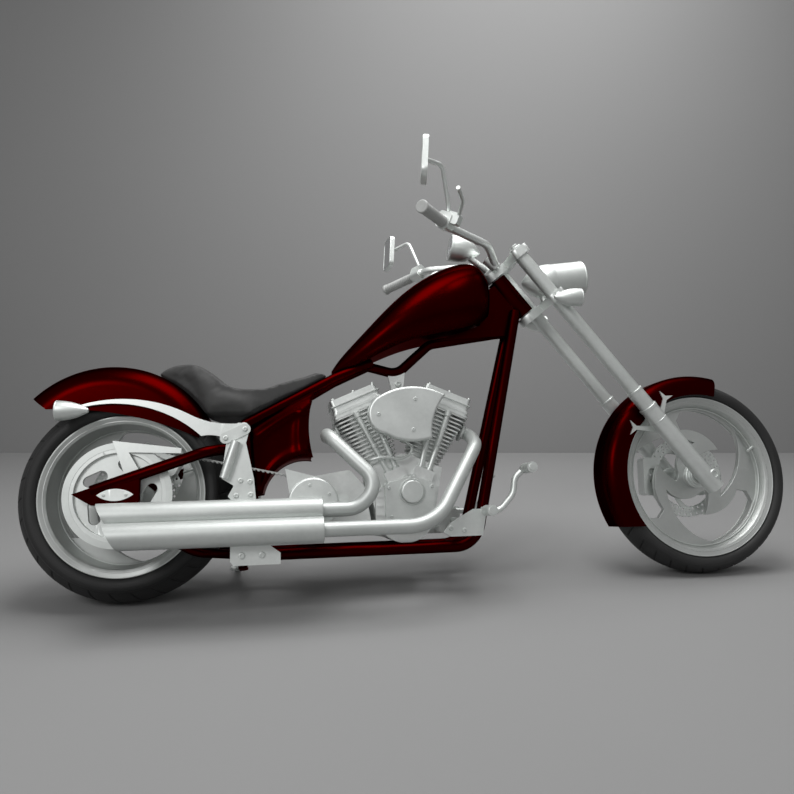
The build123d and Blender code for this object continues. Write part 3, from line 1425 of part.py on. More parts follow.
with BuildPart() as grips:
    outer_end = Vector(GRIP_OUTER[0], -GRIP_OUTER[1], GRIP_OUTER[2])
    inner = Vector(*BAR_ELBOW) + (outer_end - Vector(*BAR_ELBOW)) * GRIP_START
    outward = (outer_end - inner).normalized()
    add(rod(tuple(inner), tuple(outer_end + outward * 8), GRIP_RADIUS))
    add(rod(tuple(outer_end + outward * 8), tuple(outer_end + outward * 20), GRIP_RADIUS + 2))
    mirror(about=Plane.XZ)
    add(handlebar.part, mode=Mode.SUBTRACT)
grips.part.label = "grips"

# Hand controls: a perch with its box and a lever on each side
with BuildPart() as hand_controls:
    hold = inner
    away = -outward
    perch = Plane(origin=tuple(hold + away * 2), x_dir=(0.55, 0, 0.83), z_dir=away)
    with BuildSketch(perch):
        with Locations((8, 0)):
            RectangleRounded(56, 46, 10)
    extrude(amount=46)
    with BuildSketch(perch.offset(6)):
        with Locations((24, 26)):
            RectangleRounded(38, 40, 8)
    extrude(amount=34)
    lever = perch.from_local_coords(Vector(32, 36, 22))
    lever_mid = perch.from_local_coords(Vector(74, 62, -40))
    lever_tip = perch.from_local_coords(Vector(92, 74, -128))
    add(bent_tube((tuple(lever), tuple(lever_mid), tuple(lever_tip)), 70, 6.5))
    mirror(about=Plane.XZ)
    add(handlebar.part, mode=Mode.SUBTRACT)
hand_controls.part.label = "hand_controls"

# Mirrors on bent stalks from the perches
MIRROR_CENTRE = (937.0, 396.0, 1331.0)
MIRROR_HEIGHT = 136.0
MIRROR_WIDTH = 96.0
MIRROR_DEPTH = 16.0

with BuildPart() as mirrors:
    stalk_foot = tuple(perch.from_local_coords(Vector(34, 2, 24)))
    add(
        bent_tube(
            (
                stalk_foot,
                (MIRROR_CENTRE[0] + 64, -MIRROR_CENTRE[1] + 72, MIRROR_CENTRE[2] + 24),
                (MIRROR_CENTRE[0] - 6, -MIRROR_CENTRE[1] + 6, MIRROR_CENTRE[2] + 6),
            ),
            26,
            7,
        )
    )
    with BuildSketch(
        Plane(
            origin=(MIRROR_CENTRE[0], -MIRROR_CENTRE[1], MIRROR_CENTRE[2]),
            x_dir=(-0.15, -0.98, 0),
            z_dir=(-0.98, 0.15, 0.08),
        )
    ):
        RectangleRounded(MIRROR_WIDTH, MIRROR_HEIGHT, 22)
    extrude(amount=MIRROR_DEPTH)
    mirror(about=Plane.XZ)
    add(hand_controls.part, mode=Mode.SUBTRACT)
mirrors.part.label = "mirrors"

# Speedometer cup facing the rider, on a bracket from the upper clamp
SPEEDO_RADIUS = 47.0
SPEEDO_LENGTH = 112.0
SPEEDO_FACE = (1099.0, 1206.0)
speedo_plane = Plane(origin=(SPEEDO_FACE[0], 0, SPEEDO_FACE[1]), x_dir=(0.985, 0, -0.17), z_dir=(0, -1, 0))

with BuildPart() as speedometer:
    with BuildSketch(speedo_plane):
        with BuildLine():
            Line((0, 0), (0, SPEEDO_RADIUS))
            ThreePointArc(
                (0, SPEEDO_RADIUS),
                (0.62 * SPEEDO_LENGTH, 0.78 * SPEEDO_RADIUS),
                (SPEEDO_LENGTH, 0),
            )
            Line((SPEEDO_LENGTH, 0), (0, 0))
        make_face()
    revolve(axis=Axis((SPEEDO_FACE[0], 0, SPEEDO_FACE[1]), (0.985, 0, -0.17)))
    add(rod((1165, 0, 1170), fork_point(STEM, 0, UPPER_CLAMP_AT + CLAMP_HEIGHT - 4), 12))
    add(upper_clamp.part, mode=Mode.SUBTRACT)
speedometer.part.label = "speedometer"

# Side stand: barrel on its pin, a leg, and a foot flat on the floor
lean_s, lean_c = sin(radians(LEAN)), cos(radians(LEAN))
STAND_FOOT = (
    STAND_FOOT_PARKED[0],
    lean_c * STAND_FOOT_PARKED[1],
    lean_s * STAND_FOOT_PARKED[1],
)
FLOOR_UP = (0, -lean_s, lean_c)

with BuildPart() as side_stand:
    with BuildSketch(STAND_PLANE.offset(-STAND_BARREL_HALF)):
        Circle(STAND_BARREL_RADIUS)
    extrude(amount=2 * STAND_BARREL_HALF)
    foot_top = Vector(*STAND_FOOT) + Vector(*FLOOR_UP) * (STAND_FOOT_HEIGHT / 2)
    add(rod(STAND_PIVOT, tuple(foot_top), STAND_TUBE_RADIUS))
    with BuildSketch(Plane(origin=STAND_FOOT, z_dir=FLOOR_UP)):
        Circle(STAND_FOOT_RADIUS)
    extrude(amount=STAND_FOOT_HEIGHT)
    with BuildSketch(Plane(origin=STAND_FOOT, z_dir=(0, lean_s, -lean_c))):
        Circle(3 * STAND_FOOT_RADIUS)
    extrude(amount=40, mode=Mode.SUBTRACT)
    with BuildSketch(STAND_PLANE.offset(-60)):
        Circle(STAND_PIN_RADIUS + CLEARANCE)
    extrude(amount=120, mode=Mode.SUBTRACT)
side_stand.part.label = "side_stand"

PIECES = (
    rear_tyre, rear_rim, rear_rotor, rear_pulley,
    front_tyre, front_rim, front_rotor,
    frame, cradle, swingarm, rear_axle, axle_covers, rear_fender, fender_struts, rear_lamps,
    side_plates, passenger_pegs, oil_tank, fuel_tank, fuel_cap, seat,
    crankcase, cylinders, rocker_boxes, cam_cover, pushrod_tubes, air_cleaner, engine_mount,
    gearbox, drive_pulley, drive_belt, pulley_cover, belt_guard, primary_cover,
    exhaust_headers, mufflers, exhaust_bracket,
    foot_controls, rear_caliper,
    upper_clamp, lower_clamp, fork_tubes, fork_sliders, front_axle, front_fender, fender_brackets,
    front_caliper, headlamp, front_indicators, handlebar, grips, hand_controls, mirrors, speedometer,
    side_stand,
)

# Park: lean every piece over to the left, then centre the machine over the origin
leaned = Location((0, 0, 0), (-LEAN, 0, 0))
for piece in PIECES:
    piece.part.move(leaned)
boxes = [piece.part.bounding_box() for piece in PIECES]
middle_x = (min(box.min.X for box in boxes) + max(box.max.X for box in boxes)) / 2
middle_y = (min(box.min.Y for box in boxes) + max(box.max.Y for box in boxes)) / 2
centred = Location((-middle_x, -middle_y, 0))
print("park shift", -middle_x, -middle_y)

os.makedirs("parts", exist_ok=True)
for piece in PIECES:
    piece.part.move(centred)
    export_step(piece.part, f"parts/{piece.part.label}.step")
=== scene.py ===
"""Custom chopper motorcycle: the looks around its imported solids.

The pieces here are drawn on the upright machine, in millimetres: X forward, Y to its left,
Z up, X = 0 at the rear axle and Z = 0 at the road. Park turns such points into the frame,
where the machine leans on its side stand.
"""

import json
import logging
import math
from dataclasses import dataclass
from enum import Enum

import bmesh
import bpy
import numpy as np
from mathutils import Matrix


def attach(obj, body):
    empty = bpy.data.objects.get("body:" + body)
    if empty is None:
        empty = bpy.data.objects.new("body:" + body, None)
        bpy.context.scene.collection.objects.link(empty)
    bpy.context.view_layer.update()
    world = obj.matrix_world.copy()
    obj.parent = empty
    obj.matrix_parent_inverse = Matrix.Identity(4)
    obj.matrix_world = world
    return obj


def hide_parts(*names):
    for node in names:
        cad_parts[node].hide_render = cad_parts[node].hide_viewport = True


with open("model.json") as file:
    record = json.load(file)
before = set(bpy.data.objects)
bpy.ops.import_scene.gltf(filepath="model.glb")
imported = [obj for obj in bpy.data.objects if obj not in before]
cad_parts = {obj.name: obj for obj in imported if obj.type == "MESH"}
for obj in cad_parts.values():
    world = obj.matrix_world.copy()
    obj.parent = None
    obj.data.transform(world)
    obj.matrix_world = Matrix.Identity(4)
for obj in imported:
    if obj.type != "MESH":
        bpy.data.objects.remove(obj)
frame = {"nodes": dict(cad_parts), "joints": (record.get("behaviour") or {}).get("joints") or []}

LOG = logging.getLogger("chopper")
RGB = tuple[float, float, float]
Point = tuple[float, float, float]
Flat = tuple[float, float]

AHEAD: Point = (1.0, 0.0, 0.0)
BACK: Point = (-1.0, 0.0, 0.0)
RIGHT: Point = (0.0, -1.0, 0.0)
LEFT: Point = (0.0, 1.0, 0.0)
UP: Point = (0.0, 0.0, 1.0)
SIDES = (-1, 1)
RAKE = math.radians(38.1)
SILVER = "satin_silver"


class Body(str, Enum):
    """The rigid bodies that the pieces here ride on."""

    CHASSIS = "chassis"
    STEERING = "steering"
    FRONT_WHEEL = "front_wheel"
    REAR_WHEEL = "rear_wheel"


@dataclass(frozen=True)
class Park:
    """How the upright machine stands in the frame: leaned over, then shifted."""

    lean: float
    shift_x: float
    shift_y: float

    @classmethod
    def from_joints(cls, joints: list[dict]) -> "Park":
        """Read the lean and the shift from the rear wheel's axle.

        Args:
            joints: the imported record's joints.

        Returns:
            The machine's stance.
        """
        spin = next(joint for joint in joints if joint["name"] == "rear_wheel_spin")
        lean = math.atan2(-spin["axis"][2], spin["axis"][1])
        x, y, z = spin["pos_m"]
        return cls(lean, x, y - math.tan(lean) * z)

    def row(self, points: np.ndarray) -> np.ndarray:
        """Turn upright points in millimetres into frame points in metres.

        Y and Z turn about X by the lean; then the shift along the floor is added.

        Args:
            points: array whose last axis is X, Y, Z.

        Returns:
            An array of the same shape.
        """
        x, y, z = np.moveaxis(np.asarray(points, float) / 1000.0, -1, 0)
        cos, sin = math.cos(self.lean), math.sin(self.lean)
        return np.stack([x + self.shift_x, cos * y + sin * z + self.shift_y, cos * z - sin * y], -1)

    def upright(self, place: list[float]) -> np.ndarray:
        """Turn a frame point in metres into an upright point in millimetres."""
        x, y, z = place[0] - self.shift_x, place[1] - self.shift_y, place[2]
        cos, sin = math.cos(self.lean), math.sin(self.lean)
        return 1000.0 * np.array([x, cos * y - sin * z, sin * y + cos * z])


PARK = Park.from_joints(frame["joints"])


def joint_place(name: str) -> np.ndarray:
    """Upright place of a joint, in millimetres."""
    joint = next(joint for joint in frame["joints"] if joint["name"] == name)
    return PARK.upright(joint["pos_m"])


REAR_AXLE = joint_place("rear_wheel_spin")
FRONT_AXLE = joint_place("front_wheel_spin")
FORK_FORWARD = np.array([math.cos(RAKE), 0.0, math.sin(RAKE)])
FORK_UP = np.array([-math.sin(RAKE), 0.0, math.cos(RAKE)])


def fork_point(forward: float, y: float, up: float) -> np.ndarray:
    """Point in the fork's own directions, from the front axle."""
    return FRONT_AXLE + forward * FORK_FORWARD + up * FORK_UP + np.array([0.0, y, 0.0])


def sided(point: Point, way: int) -> np.ndarray:
    """Point of the left side, or its mirror image on the right where way is -1."""
    return np.array(point) * np.array([1.0, way, 1.0])


def at_side(flat: np.ndarray, y: float | np.ndarray) -> np.ndarray:
    """Points (..., 3) from X and Z (..., 2) and the distance to the left."""
    flat = np.asarray(flat, float)
    return np.stack([flat[..., 0], np.broadcast_to(y, flat.shape[:-1]), flat[..., 1]], -1)


def unit(vector: np.ndarray) -> np.ndarray:
    """Vector, or vectors along the last axis, of length one."""
    vector = np.asarray(vector, float)
    return vector / np.linalg.norm(vector, axis=-1, keepdims=True)


def squared(vector: Point, axis: np.ndarray) -> np.ndarray:
    """Unit vector square to a unit axis and nearest to a given one."""
    vector = np.asarray(vector, float)
    return unit(vector - (vector @ axis) * axis)


def across(axis: np.ndarray) -> tuple[np.ndarray, np.ndarray]:
    """Two unit vectors square to an axis."""
    axis = unit(axis)
    start = np.array(AHEAD) if abs(axis[0]) < 0.8 else np.array(UP)
    side = unit(np.cross(axis, start))
    return side, np.cross(axis, side)


def smoothstep(low: float, high: float, value: np.ndarray) -> np.ndarray:
    """Smooth step from 0 at low to 1 at high."""
    share = np.clip((value - low) / (high - low), 0, 1)
    return share * share * (3 - 2 * share)


def bell(value: np.ndarray, middle: float, width: float) -> np.ndarray:
    """Round bump of height 1."""
    return np.exp(-(((value - middle) / width) ** 2))


def polar(angle: np.ndarray) -> np.ndarray:
    """Points (..., 2) of the unit circle."""
    return np.stack([np.cos(angle), np.sin(angle)], -1)


def turn_steps(count: int) -> np.ndarray:
    """Angles that divide a full turn evenly."""
    return np.linspace(0, math.tau, count, endpoint=False)


def circle(radius: float, count: int) -> np.ndarray:
    """Ring of points (count, 2)."""
    return radius * polar(turn_steps(count))


def rounded(width: float, height: float, radius: float, corner: int = 6) -> np.ndarray:
    """Outline (n, 2) of a rectangle with round corners, anticlockwise."""
    angle = np.linspace(0, math.pi / 2, corner)
    middle = np.array([width / 2 - radius, height / 2 - radius])
    corners = []
    for number, sign in enumerate([(1, 1), (-1, 1), (-1, -1), (1, -1)]):
        corners.append(middle * np.array(sign) + radius * polar(angle + number * math.pi / 2))
    return np.vstack(corners)


def arc(start: Flat, through: Flat, end: Flat, count: int) -> np.ndarray:
    """Points on the circle through three points of a plane.

    The centre is where the chords' bisectors meet, and the angle runs evenly from start past
    through to end.

    Args:
        start: first point.
        through: a point between.
        end: last point.
        count: how many points.

    Returns:
        Array (count, 2).
    """
    a, b, c = (np.asarray(point, float) for point in (start, through, end))
    twice = 2 * (a[0] * (b[1] - c[1]) + b[0] * (c[1] - a[1]) + c[0] * (a[1] - b[1]))
    squares = np.array([a @ a, b @ b, c @ c])
    x = squares @ np.array([b[1] - c[1], c[1] - a[1], a[1] - b[1]])
    y = squares @ np.array([c[0] - b[0], a[0] - c[0], b[0] - a[0]])
    centre = np.array([x, y]) / twice
    first, middle, last = (math.atan2(*(point - centre)[::-1]) for point in (a, b, c))
    span = (last - first) % math.tau
    if (middle - first) % math.tau > span:
        span -= math.tau
    return centre + np.linalg.norm(a - centre) * polar(first + span * np.linspace(0, 1, count))


def resample(path: np.ndarray, share: np.ndarray) -> np.ndarray:
    """Points (n, 2) at given shares of a flat path's length."""
    run = np.concatenate([[0], np.cumsum(np.linalg.norm(np.diff(path, axis=0), axis=1))])
    return np.stack([np.interp(share * run[-1], run, path[:, axis]) for axis in (0, 1)], -1)


def curve(points: tuple[Point, ...], count: int) -> np.ndarray:
    """Smooth path through a few points: a cubic between each two, from them and their neighbours.

    Args:
        points: places (n, 3).
        count: points in the path.

    Returns:
        Array (count, 3).
    """
    points = np.asarray(points, float)
    ends = np.vstack([2 * points[0] - points[1], points, 2 * points[-1] - points[-2]])
    place = np.linspace(0, len(points) - 1 - 1e-9, count)
    step = place.astype(int)
    t = (place - step)[:, None]
    a, b, c, d = (ends[step + shift] for shift in range(4))
    square, cube = 2 * a - 5 * b + 4 * c - d, 3 * b - a - 3 * c + d
    return 0.5 * (2 * b + (c - a) * t + square * t**2 + cube * t**3)


def band(start: float, size: float, radius: float, inner: float) -> list[Flat]:
    """Profile of a ring with broken outer edges, open on the inside."""
    end = start + size
    outside = [(start, radius - 1), (start + 1, radius), (end - 1, radius), (end, radius - 1)]
    return [(start, inner), *outside, (end, inner)]


def dome(base: float, bulge: float, radius: float, count: int) -> np.ndarray:
    """Profile (count, 2) of a shallow dome, from its top to its edge."""
    share = np.linspace(0, 1, count)
    return np.stack([base + bulge * (1 - share**2), radius * share], -1)


def revolve(profile: list[Flat], origin: Point, axis: Point, segments: int) -> np.ndarray:
    """Surface of revolution: (distance along the axis, radius) turned about the axis.

    Args:
        profile: array (n, 2).
        origin: point on the axis.
        axis: direction of the axis.
        segments: steps round the axis.

    Returns:
        Grid (segments, n, 3), which closes along its first axis.
    """
    profile = np.asarray(profile, float)
    side, third = across(axis)
    angle = turn_steps(segments)[:, None]
    ring = np.cos(angle) * side + np.sin(angle) * third
    along = profile[None, :, 0, None] * unit(axis)
    return np.asarray(origin, float) + along + profile[None, :, 1, None] * ring[:, None, :]


def sweep(path: np.ndarray, profile: np.ndarray, level: Point, closed: bool = False) -> np.ndarray:
    """Profile carried along a path.

    At each point the profile's first axis is square to the path and to level, its second
    completes the frame.

    Args:
        path: array (n, 3).
        profile: array (m, 2).
        level: a direction that the path never follows.
        closed: whether the path's end meets its start.

    Returns:
        Grid (n, m, 3).
    """
    if closed:
        tangent = unit(np.roll(path, -1, 0) - np.roll(path, 1, 0))
    else:
        tangent = unit(np.gradient(path, axis=0))
    side = unit(np.cross(tangent, np.asarray(level, float)))
    up = np.cross(side, tangent)
    return path[:, None] + profile[:, 0, None] * side[:, None] + profile[:, 1, None] * up[:, None]


class Shape:
    """Points and faces gathered for one piece, on the upright machine."""

    def __init__(self) -> None:
        """Start with nothing."""
        self.points: list[np.ndarray] = []
        self.faces: list[list[int]] = []
        self.total = 0

    def grid(self, points: np.ndarray, wrap_u: bool = False, wrap_v: bool = False) -> "Shape":
        """Add quads between the neighbours of a (U, V, 3) array.

        Args:
            points: the grid.
            wrap_u: join the last row to the first.
            wrap_v: join the last column to the first.

        Returns:
            The shape itself.
        """
        rows, columns = points.shape[:2]
        index = np.arange(rows * columns).reshape(rows, columns) + self.total
        if wrap_u:
            index = np.vstack([index, index[:1]])
        if wrap_v:
            index = np.hstack([index, index[:, :1]])
        corners = (index[:-1, :-1], index[1:, :-1], index[1:, 1:], index[:-1, 1:])
        self.faces.extend(np.stack(corners, -1).reshape(-1, 4).tolist())
        self.points.append(points.reshape(-1, 3))
        self.total += rows * columns
        return self

    def cap(self, ring: np.ndarray) -> "Shape":
        """Close a flat ring of points with one face."""
        self.faces.append(list(range(self.total, self.total + len(ring))))
        self.points.append(ring)
        self.total += len(ring)
        return self

    def turned(self, profile: list[Flat], origin: Point, axis: Point, segments: int = 64) -> "Shape":
        """Add a surface of revolution."""
        return self.grid(revolve(profile, origin, axis, segments), wrap_u=True)

    def bar(self, path: np.ndarray, profile: np.ndarray, level: Point) -> "Shape":
        """Add a profile carried along a path, with flat ends."""
        points = sweep(path, profile, level)
        return self.grid(points, wrap_v=True).cap(points[0][::-1]).cap(points[-1])

    def plate(self, outline: np.ndarray, origin: Point, x_dir: Point, y_dir: Point, depth: float) -> "Shape":
        """Add a flat plate: an outline in a plane, given a depth along the plane's normal.

        Args:
            outline: array (n, 2).
            origin: the plane's origin.
            x_dir: its first direction.
            y_dir: its second direction.
            depth: the plate's thickness, towards x_dir turned onto y_dir.

        Returns:
            The shape itself.
        """
        first, second = unit(x_dir), unit(y_dir)
        flat = np.array(origin) + outline[:, 0, None] * first + outline[:, 1, None] * second
        lifted = flat + depth * np.cross(first, second)
        return self.grid(np.stack([flat, lifted]), wrap_v=True).cap(flat[::-1]).cap(lifted)

    def bolts(self, places: list[Point], axis: Point, radius: float, height: float) -> "Shape":
        """Add socket-head screws: a turned head with a rounded edge and a recess.

        Args:
            places: where the heads stand.
            axis: the way the heads face.
            radius: the head's radius.
            height: the head's height.

        Returns:
            The shape itself.
        """
        sunk = 1.5
        head = np.array([(0, 1), (0.55, 1), (0.88, 0.88), (1, 0.66), (1, 0.52), (0.5, 0.48), (0.5, 0)])
        profile = head * np.array([height, radius])
        profile[0, 0] = -sunk
        for place in places:
            self.turned(profile, place, axis, 12)
        return self

    def make(
        self, name: str, body: Body, finish: "Finish", slot: str = "", smooth: float = 38.0
    ) -> bpy.types.Object:
        """Turn the shape into an object that rides on a body.

        Args:
            name: the piece's name.
            body: the body that it moves with.
            finish: its finish.
            slot: the record's material slot; not used.
            smooth: edges sharper than this many degrees stay sharp.

        Returns:
            The new object.
        """
        mesh = bpy.data.meshes.new(name)
        mesh.from_pydata(PARK.row(np.vstack(self.points)).tolist(), [], self.faces)
        work = bmesh.new()
        work.from_mesh(mesh)
        bmesh.ops.remove_doubles(work, verts=work.verts, dist=2e-6)
        bmesh.ops.dissolve_degenerate(work, edges=work.edges, dist=1e-6)
        bmesh.ops.recalc_face_normals(work, faces=work.faces)
        work.to_mesh(mesh)
        work.free()
        mesh.polygons.foreach_set("use_smooth", np.ones(len(mesh.polygons), bool))
        mesh.set_sharp_from_angle(angle=math.radians(smooth))
        piece = bpy.data.objects.new(name, mesh)
        bpy.context.scene.collection.objects.link(piece)
        mesh.materials.append(finish.material())
        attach(piece, body.value)
        LOG.info("%s: %d faces on %s", name, len(mesh.polygons), body.value)
        return piece


class Grain(Enum):
    """The fine surface of a finish."""

    SMOOTH = "smooth"
    CAST = "cast"
    LEATHER = "leather"
    RUBBER = "rubber"


def feed(tree: bpy.types.NodeTree, socket: bpy.types.NodeSocket, value: object) -> None:
    """Link another socket to an input, or set the input's value."""
    if isinstance(value, bpy.types.NodeSocket):
        tree.links.new(value, socket)
    else:
        socket.default_value = value


def add_node(tree: bpy.types.NodeTree, kind: str, inputs: dict, **settings: object) -> bpy.types.Node:
    """Add a shader node.

    Args:
        tree: the tree that it goes into.
        kind: the node's type, without its prefix.
        inputs: by name or number, a socket to link or a value to set.
        settings: the node's own settings, made before its inputs.

    Returns:
        The node.
    """
    node = tree.nodes.new(f"ShaderNode{kind}")
    for name, value in settings.items():
        setattr(node, name, value)
    for key, value in inputs.items():
        feed(tree, node.inputs[key], value)
    return node


def new_group(name: str, outputs: tuple[str, ...]) -> bpy.types.ShaderNodeTree:
    """Start a shader node group that takes a vector and a scale.

    Args:
        name: the group's name.
        outputs: names of the value outputs.

    Returns:
        The group, with its input and output nodes in place.
    """
    group = bpy.data.node_groups.new(name, "ShaderNodeTree")
    group.interface.new_socket(name="Vector", in_out="INPUT", socket_type="NodeSocketVector")
    group.interface.new_socket(name="Scale", in_out="INPUT", socket_type="NodeSocketFloat")
    for title in outputs:
        group.interface.new_socket(name=title, in_out="OUTPUT", socket_type="NodeSocketFloat")
    group.nodes.new("NodeGroupInput").name = "in"
    group.nodes.new("NodeGroupOutput").name = "out"
    return group


def mottle_group() -> bpy.types.ShaderNodeTree:
    """Handling marks: a broad and a fine noise, as a mask and as a height.

    Returns:
        The group, built once.
    """
    found = bpy.data.node_groups.get("handling_marks")
    if found:
        return found
    group = new_group("handling_marks", ("Mask", "Height"))
    sink = group.nodes["out"]
    vector, scale = (group.nodes["in"].outputs[name] for name in ("Vector", "Scale"))
    broad = add_node(group, "TexNoise", {"Vector": vector, "Scale": scale, "Detail": 3.0})
    fine = add_node(group, "TexNoise", {"Vector": vector, "Scale": 90.0, "Detail": 4.0})
    share = add_node(group, "Math", {0: fine.outputs["Fac"], 1: 0.3}, operation="MULTIPLY")
    terms = {0: broad.outputs["Fac"], 1: 0.7, 2: share.outputs[0]}
    mixed = add_node(group, "Math", terms, operation="MULTIPLY_ADD")
    spread = add_node(group, "MapRange", {"Value": mixed.outputs[0], "From Min": 0.36, "From Max": 0.64})
    feed(group, sink.inputs["Mask"], spread.outputs["Result"])
    feed(group, sink.inputs["Height"], fine.outputs["Fac"])
    return group


def grain_group(grain: Grain) -> bpy.types.ShaderNodeTree:
    """Fine surface of a cast, leather or rubber finish, as a height.

    Cast is a close noise; leather is small cells with sunk walls between them; rubber is a
    noise with less detail.

    Args:
        grain: which one.

    Returns:
        The group, built once for each.
    """
    name = f"{grain.value}_grain"
    found = bpy.data.node_groups.get(name)
    if found:
        return found
    group = new_group(name, ("Height",))
    inputs = {title: group.nodes["in"].outputs[title] for title in ("Vector", "Scale")}
    if grain is Grain.LEATHER:
        cells = add_node(group, "TexVoronoi", inputs, feature="DISTANCE_TO_EDGE")
        wall = add_node(group, "MapRange", {"Value": cells.outputs["Distance"], "From Max": 0.22})
        height = wall.outputs["Result"]
    else:
        inputs["Detail"] = 5.0 if grain is Grain.CAST else 2.0
        height = add_node(group, "TexNoise", inputs).outputs["Fac"]
    feed(group, group.nodes["out"].inputs["Height"], height)
    return group


@dataclass(frozen=True)
class Finish:
    """A surface finish: two shades mixed by handling marks, and a fine grain in relief."""

    name: str
    dark: RGB
    light: RGB
    metallic: float = 0.0
    rough: Flat = (0.4, 0.5)
    scale: float = 6.0
    grain: Grain = Grain.SMOOTH
    grain_scale: float = 400.0
    relief: float = 0.02
    sheen: float = 0.0
    ior: float = 1.5
    transmission: float = 0.0
    tint: RGB = (1.0, 1.0, 1.0)

    def material(self) -> bpy.types.Material:
        """Build the finish's material once.

        Returns:
            The material.
        """
        found = bpy.data.materials.get(self.name)
        if found:
            return found
        made = bpy.data.materials.new(self.name)
        made.use_nodes = True
        tree = made.node_tree
        place = add_node(tree, "TexCoord", {}).outputs["Object"]
        marks = add_node(tree, "Group", {"Vector": place, "Scale": self.scale}, node_tree=mottle_group())
        mask, height = marks.outputs["Mask"], marks.outputs["Height"]
        shades = {"Factor": mask, "A": (*self.dark, 1), "B": (*self.light, 1)}
        colour = add_node(tree, "Mix", shades, data_type="RGBA")
        low, high = self.rough
        rough = add_node(tree, "MapRange", {"Value": mask, "To Min": low, "To Max": high})
        inputs = {
            "Base Color": colour.outputs["Result"],
            "Roughness": rough.outputs["Result"],
            "Metallic": self.metallic,
            "Sheen Weight": self.sheen,
            "IOR": self.ior,
            "Transmission Weight": self.transmission,
            "Specular Tint": (*self.tint, 1),
        }
        if self.grain is not Grain.SMOOTH:
            size = {"Vector": place, "Scale": self.grain_scale}
            fine = add_node(tree, "Group", size, node_tree=grain_group(self.grain))
            height = fine.outputs["Height"]
        if self.relief > 0:
            raised = {"Strength": 0.5, "Distance": self.relief / 1000.0, "Height": height}
            inputs["Normal"] = add_node(tree, "Bump", raised).outputs["Normal"]
        for name, value in inputs.items():
            feed(tree, tree.nodes["Principled BSDF"].inputs[name], value)
        return made


CANDY_RED = Finish(
    "candy_red_paint", (0.026, 0.0, 0.0), (0.034, 0.0, 0.0), metallic=1.0, rough=(0.28, 0.32),
    scale=5.0, relief=0.0, tint=(0.35, 0.0, 0.0),
)
SATIN_SILVER = Finish(
    "satin_silver_metal", (0.77, 0.80, 0.78), (0.85, 0.88, 0.86), metallic=0.9, rough=(0.42, 0.50),
    scale=9.0, grain=Grain.CAST, grain_scale=900.0, relief=0.02,
)
CAST_SILVER = Finish(
    "cast_engine_alloy", (0.77, 0.79, 0.775), (0.87, 0.89, 0.875), metallic=0.8, rough=(0.46, 0.56),
    scale=14.0, grain=Grain.CAST, grain_scale=700.0, relief=0.05,
)
POLISHED = Finish(
    "polished_silver_metal", (0.70, 0.73, 0.71), (0.78, 0.81, 0.79), metallic=0.9, rough=(0.46, 0.52),
    scale=7.0, relief=0.0,
)
EXHAUST_SATIN = Finish(
    "satin_exhaust_metal", (0.53, 0.555, 0.54), (0.60, 0.625, 0.61), metallic=0.6, rough=(0.46, 0.52),
    scale=6.0, relief=0.0,
)
# The wheels' satin silver, darkened: painted shade for the shade that falls in the rims' deep barrels.
RIM_PAINTED_SHADE_SATIN = Finish(
    "satin_rim_metal", (0.57, 0.59, 0.575), (0.63, 0.65, 0.635), metallic=0.9, rough=(0.42, 0.50),
    scale=9.0, grain=Grain.CAST, grain_scale=900.0, relief=0.02,
)
TYRE_RUBBER = Finish(
    "tread_rubber", (0.013, 0.013, 0.013), (0.022, 0.022, 0.022), rough=(0.55, 0.70),
    scale=10.0, grain=Grain.RUBBER, grain_scale=500.0, relief=0.15,
)
BELT_RUBBER = Finish(
    "grey_belt_rubber", (0.34, 0.35, 0.34), (0.44, 0.45, 0.44), rough=(0.5, 0.65),
    scale=30.0, grain=Grain.RUBBER, grain_scale=900.0, relief=0.06,
)
SEAT_HIDE = Finish(
    "saddle_hide", (0.032, 0.032, 0.032), (0.048, 0.048, 0.047), rough=(0.60, 0.70),
    scale=7.0, grain=Grain.LEATHER, grain_scale=420.0, relief=0.18, sheen=0.08,
)
GRIP_RUBBER = Finish(
    "ribbed_grip_rubber", (0.40, 0.41, 0.40), (0.50, 0.51, 0.50), metallic=0.2, rough=(0.45, 0.6),
    scale=18.0, grain=Grain.RUBBER, grain_scale=900.0, relief=0.05,
)
# Near-black steel for the liners deep in the muffler bores: painted shade inside each bore.
BORE_PAINTED_SHADE = Finish(
    "sooty_steel", (0.03, 0.03, 0.03), (0.09, 0.09, 0.088), metallic=0.5, rough=(0.6, 0.8),
    scale=20.0, grain=Grain.CAST, grain_scale=500.0, relief=0.1,
)
CLEAR_LENS = Finish(
    "clear_lens", (0.88, 0.90, 0.91), (0.93, 0.94, 0.95), rough=(0.05, 0.09),
    scale=10.0, relief=0.01, transmission=0.75, ior=1.46,
)
RED_LENS = Finish(
    "red_lens", (0.42, 0.012, 0.010), (0.52, 0.02, 0.016), rough=(0.10, 0.16),
    scale=12.0, relief=0.02, transmission=0.3, ior=1.46,
)
MIRROR_GLASS = Finish(
    "mirror_glass", (0.80, 0.82, 0.83), (0.86, 0.87, 0.88), metallic=1.0, rough=(0.02, 0.05),
    scale=4.0, relief=0.002,
)
DIAL_FACE = Finish(
    "dial_face", (0.02, 0.02, 0.022), (0.035, 0.035, 0.037), rough=(0.4, 0.5), scale=30.0, relief=0.01
)
DIAL_MARK = Finish(
    "dial_mark", (0.72, 0.72, 0.70), (0.82, 0.82, 0.80), rough=(0.45, 0.55), scale=30.0, relief=0.01
)


NODE_FINISHES: dict[Finish, tuple[str, ...]] = {
    CANDY_RED: ("frame", "cradle", "swingarm", "rear_fender", "oil_tank", "fuel_tank", "front_fender"),
    CAST_SILVER: ("crankcase", "cylinders", "gearbox", "engine_mount"),
    POLISHED: ("fork_tubes", "headlamp", "front_indicators", "rear_lamps", "fuel_cap"),
    EXHAUST_SATIN: ("mufflers", "exhaust_headers"),
    # The rims take the darker satin, whose colour is painted shade in their barrels.
    RIM_PAINTED_SHADE_SATIN: ("front_rim", "rear_rim"),
}


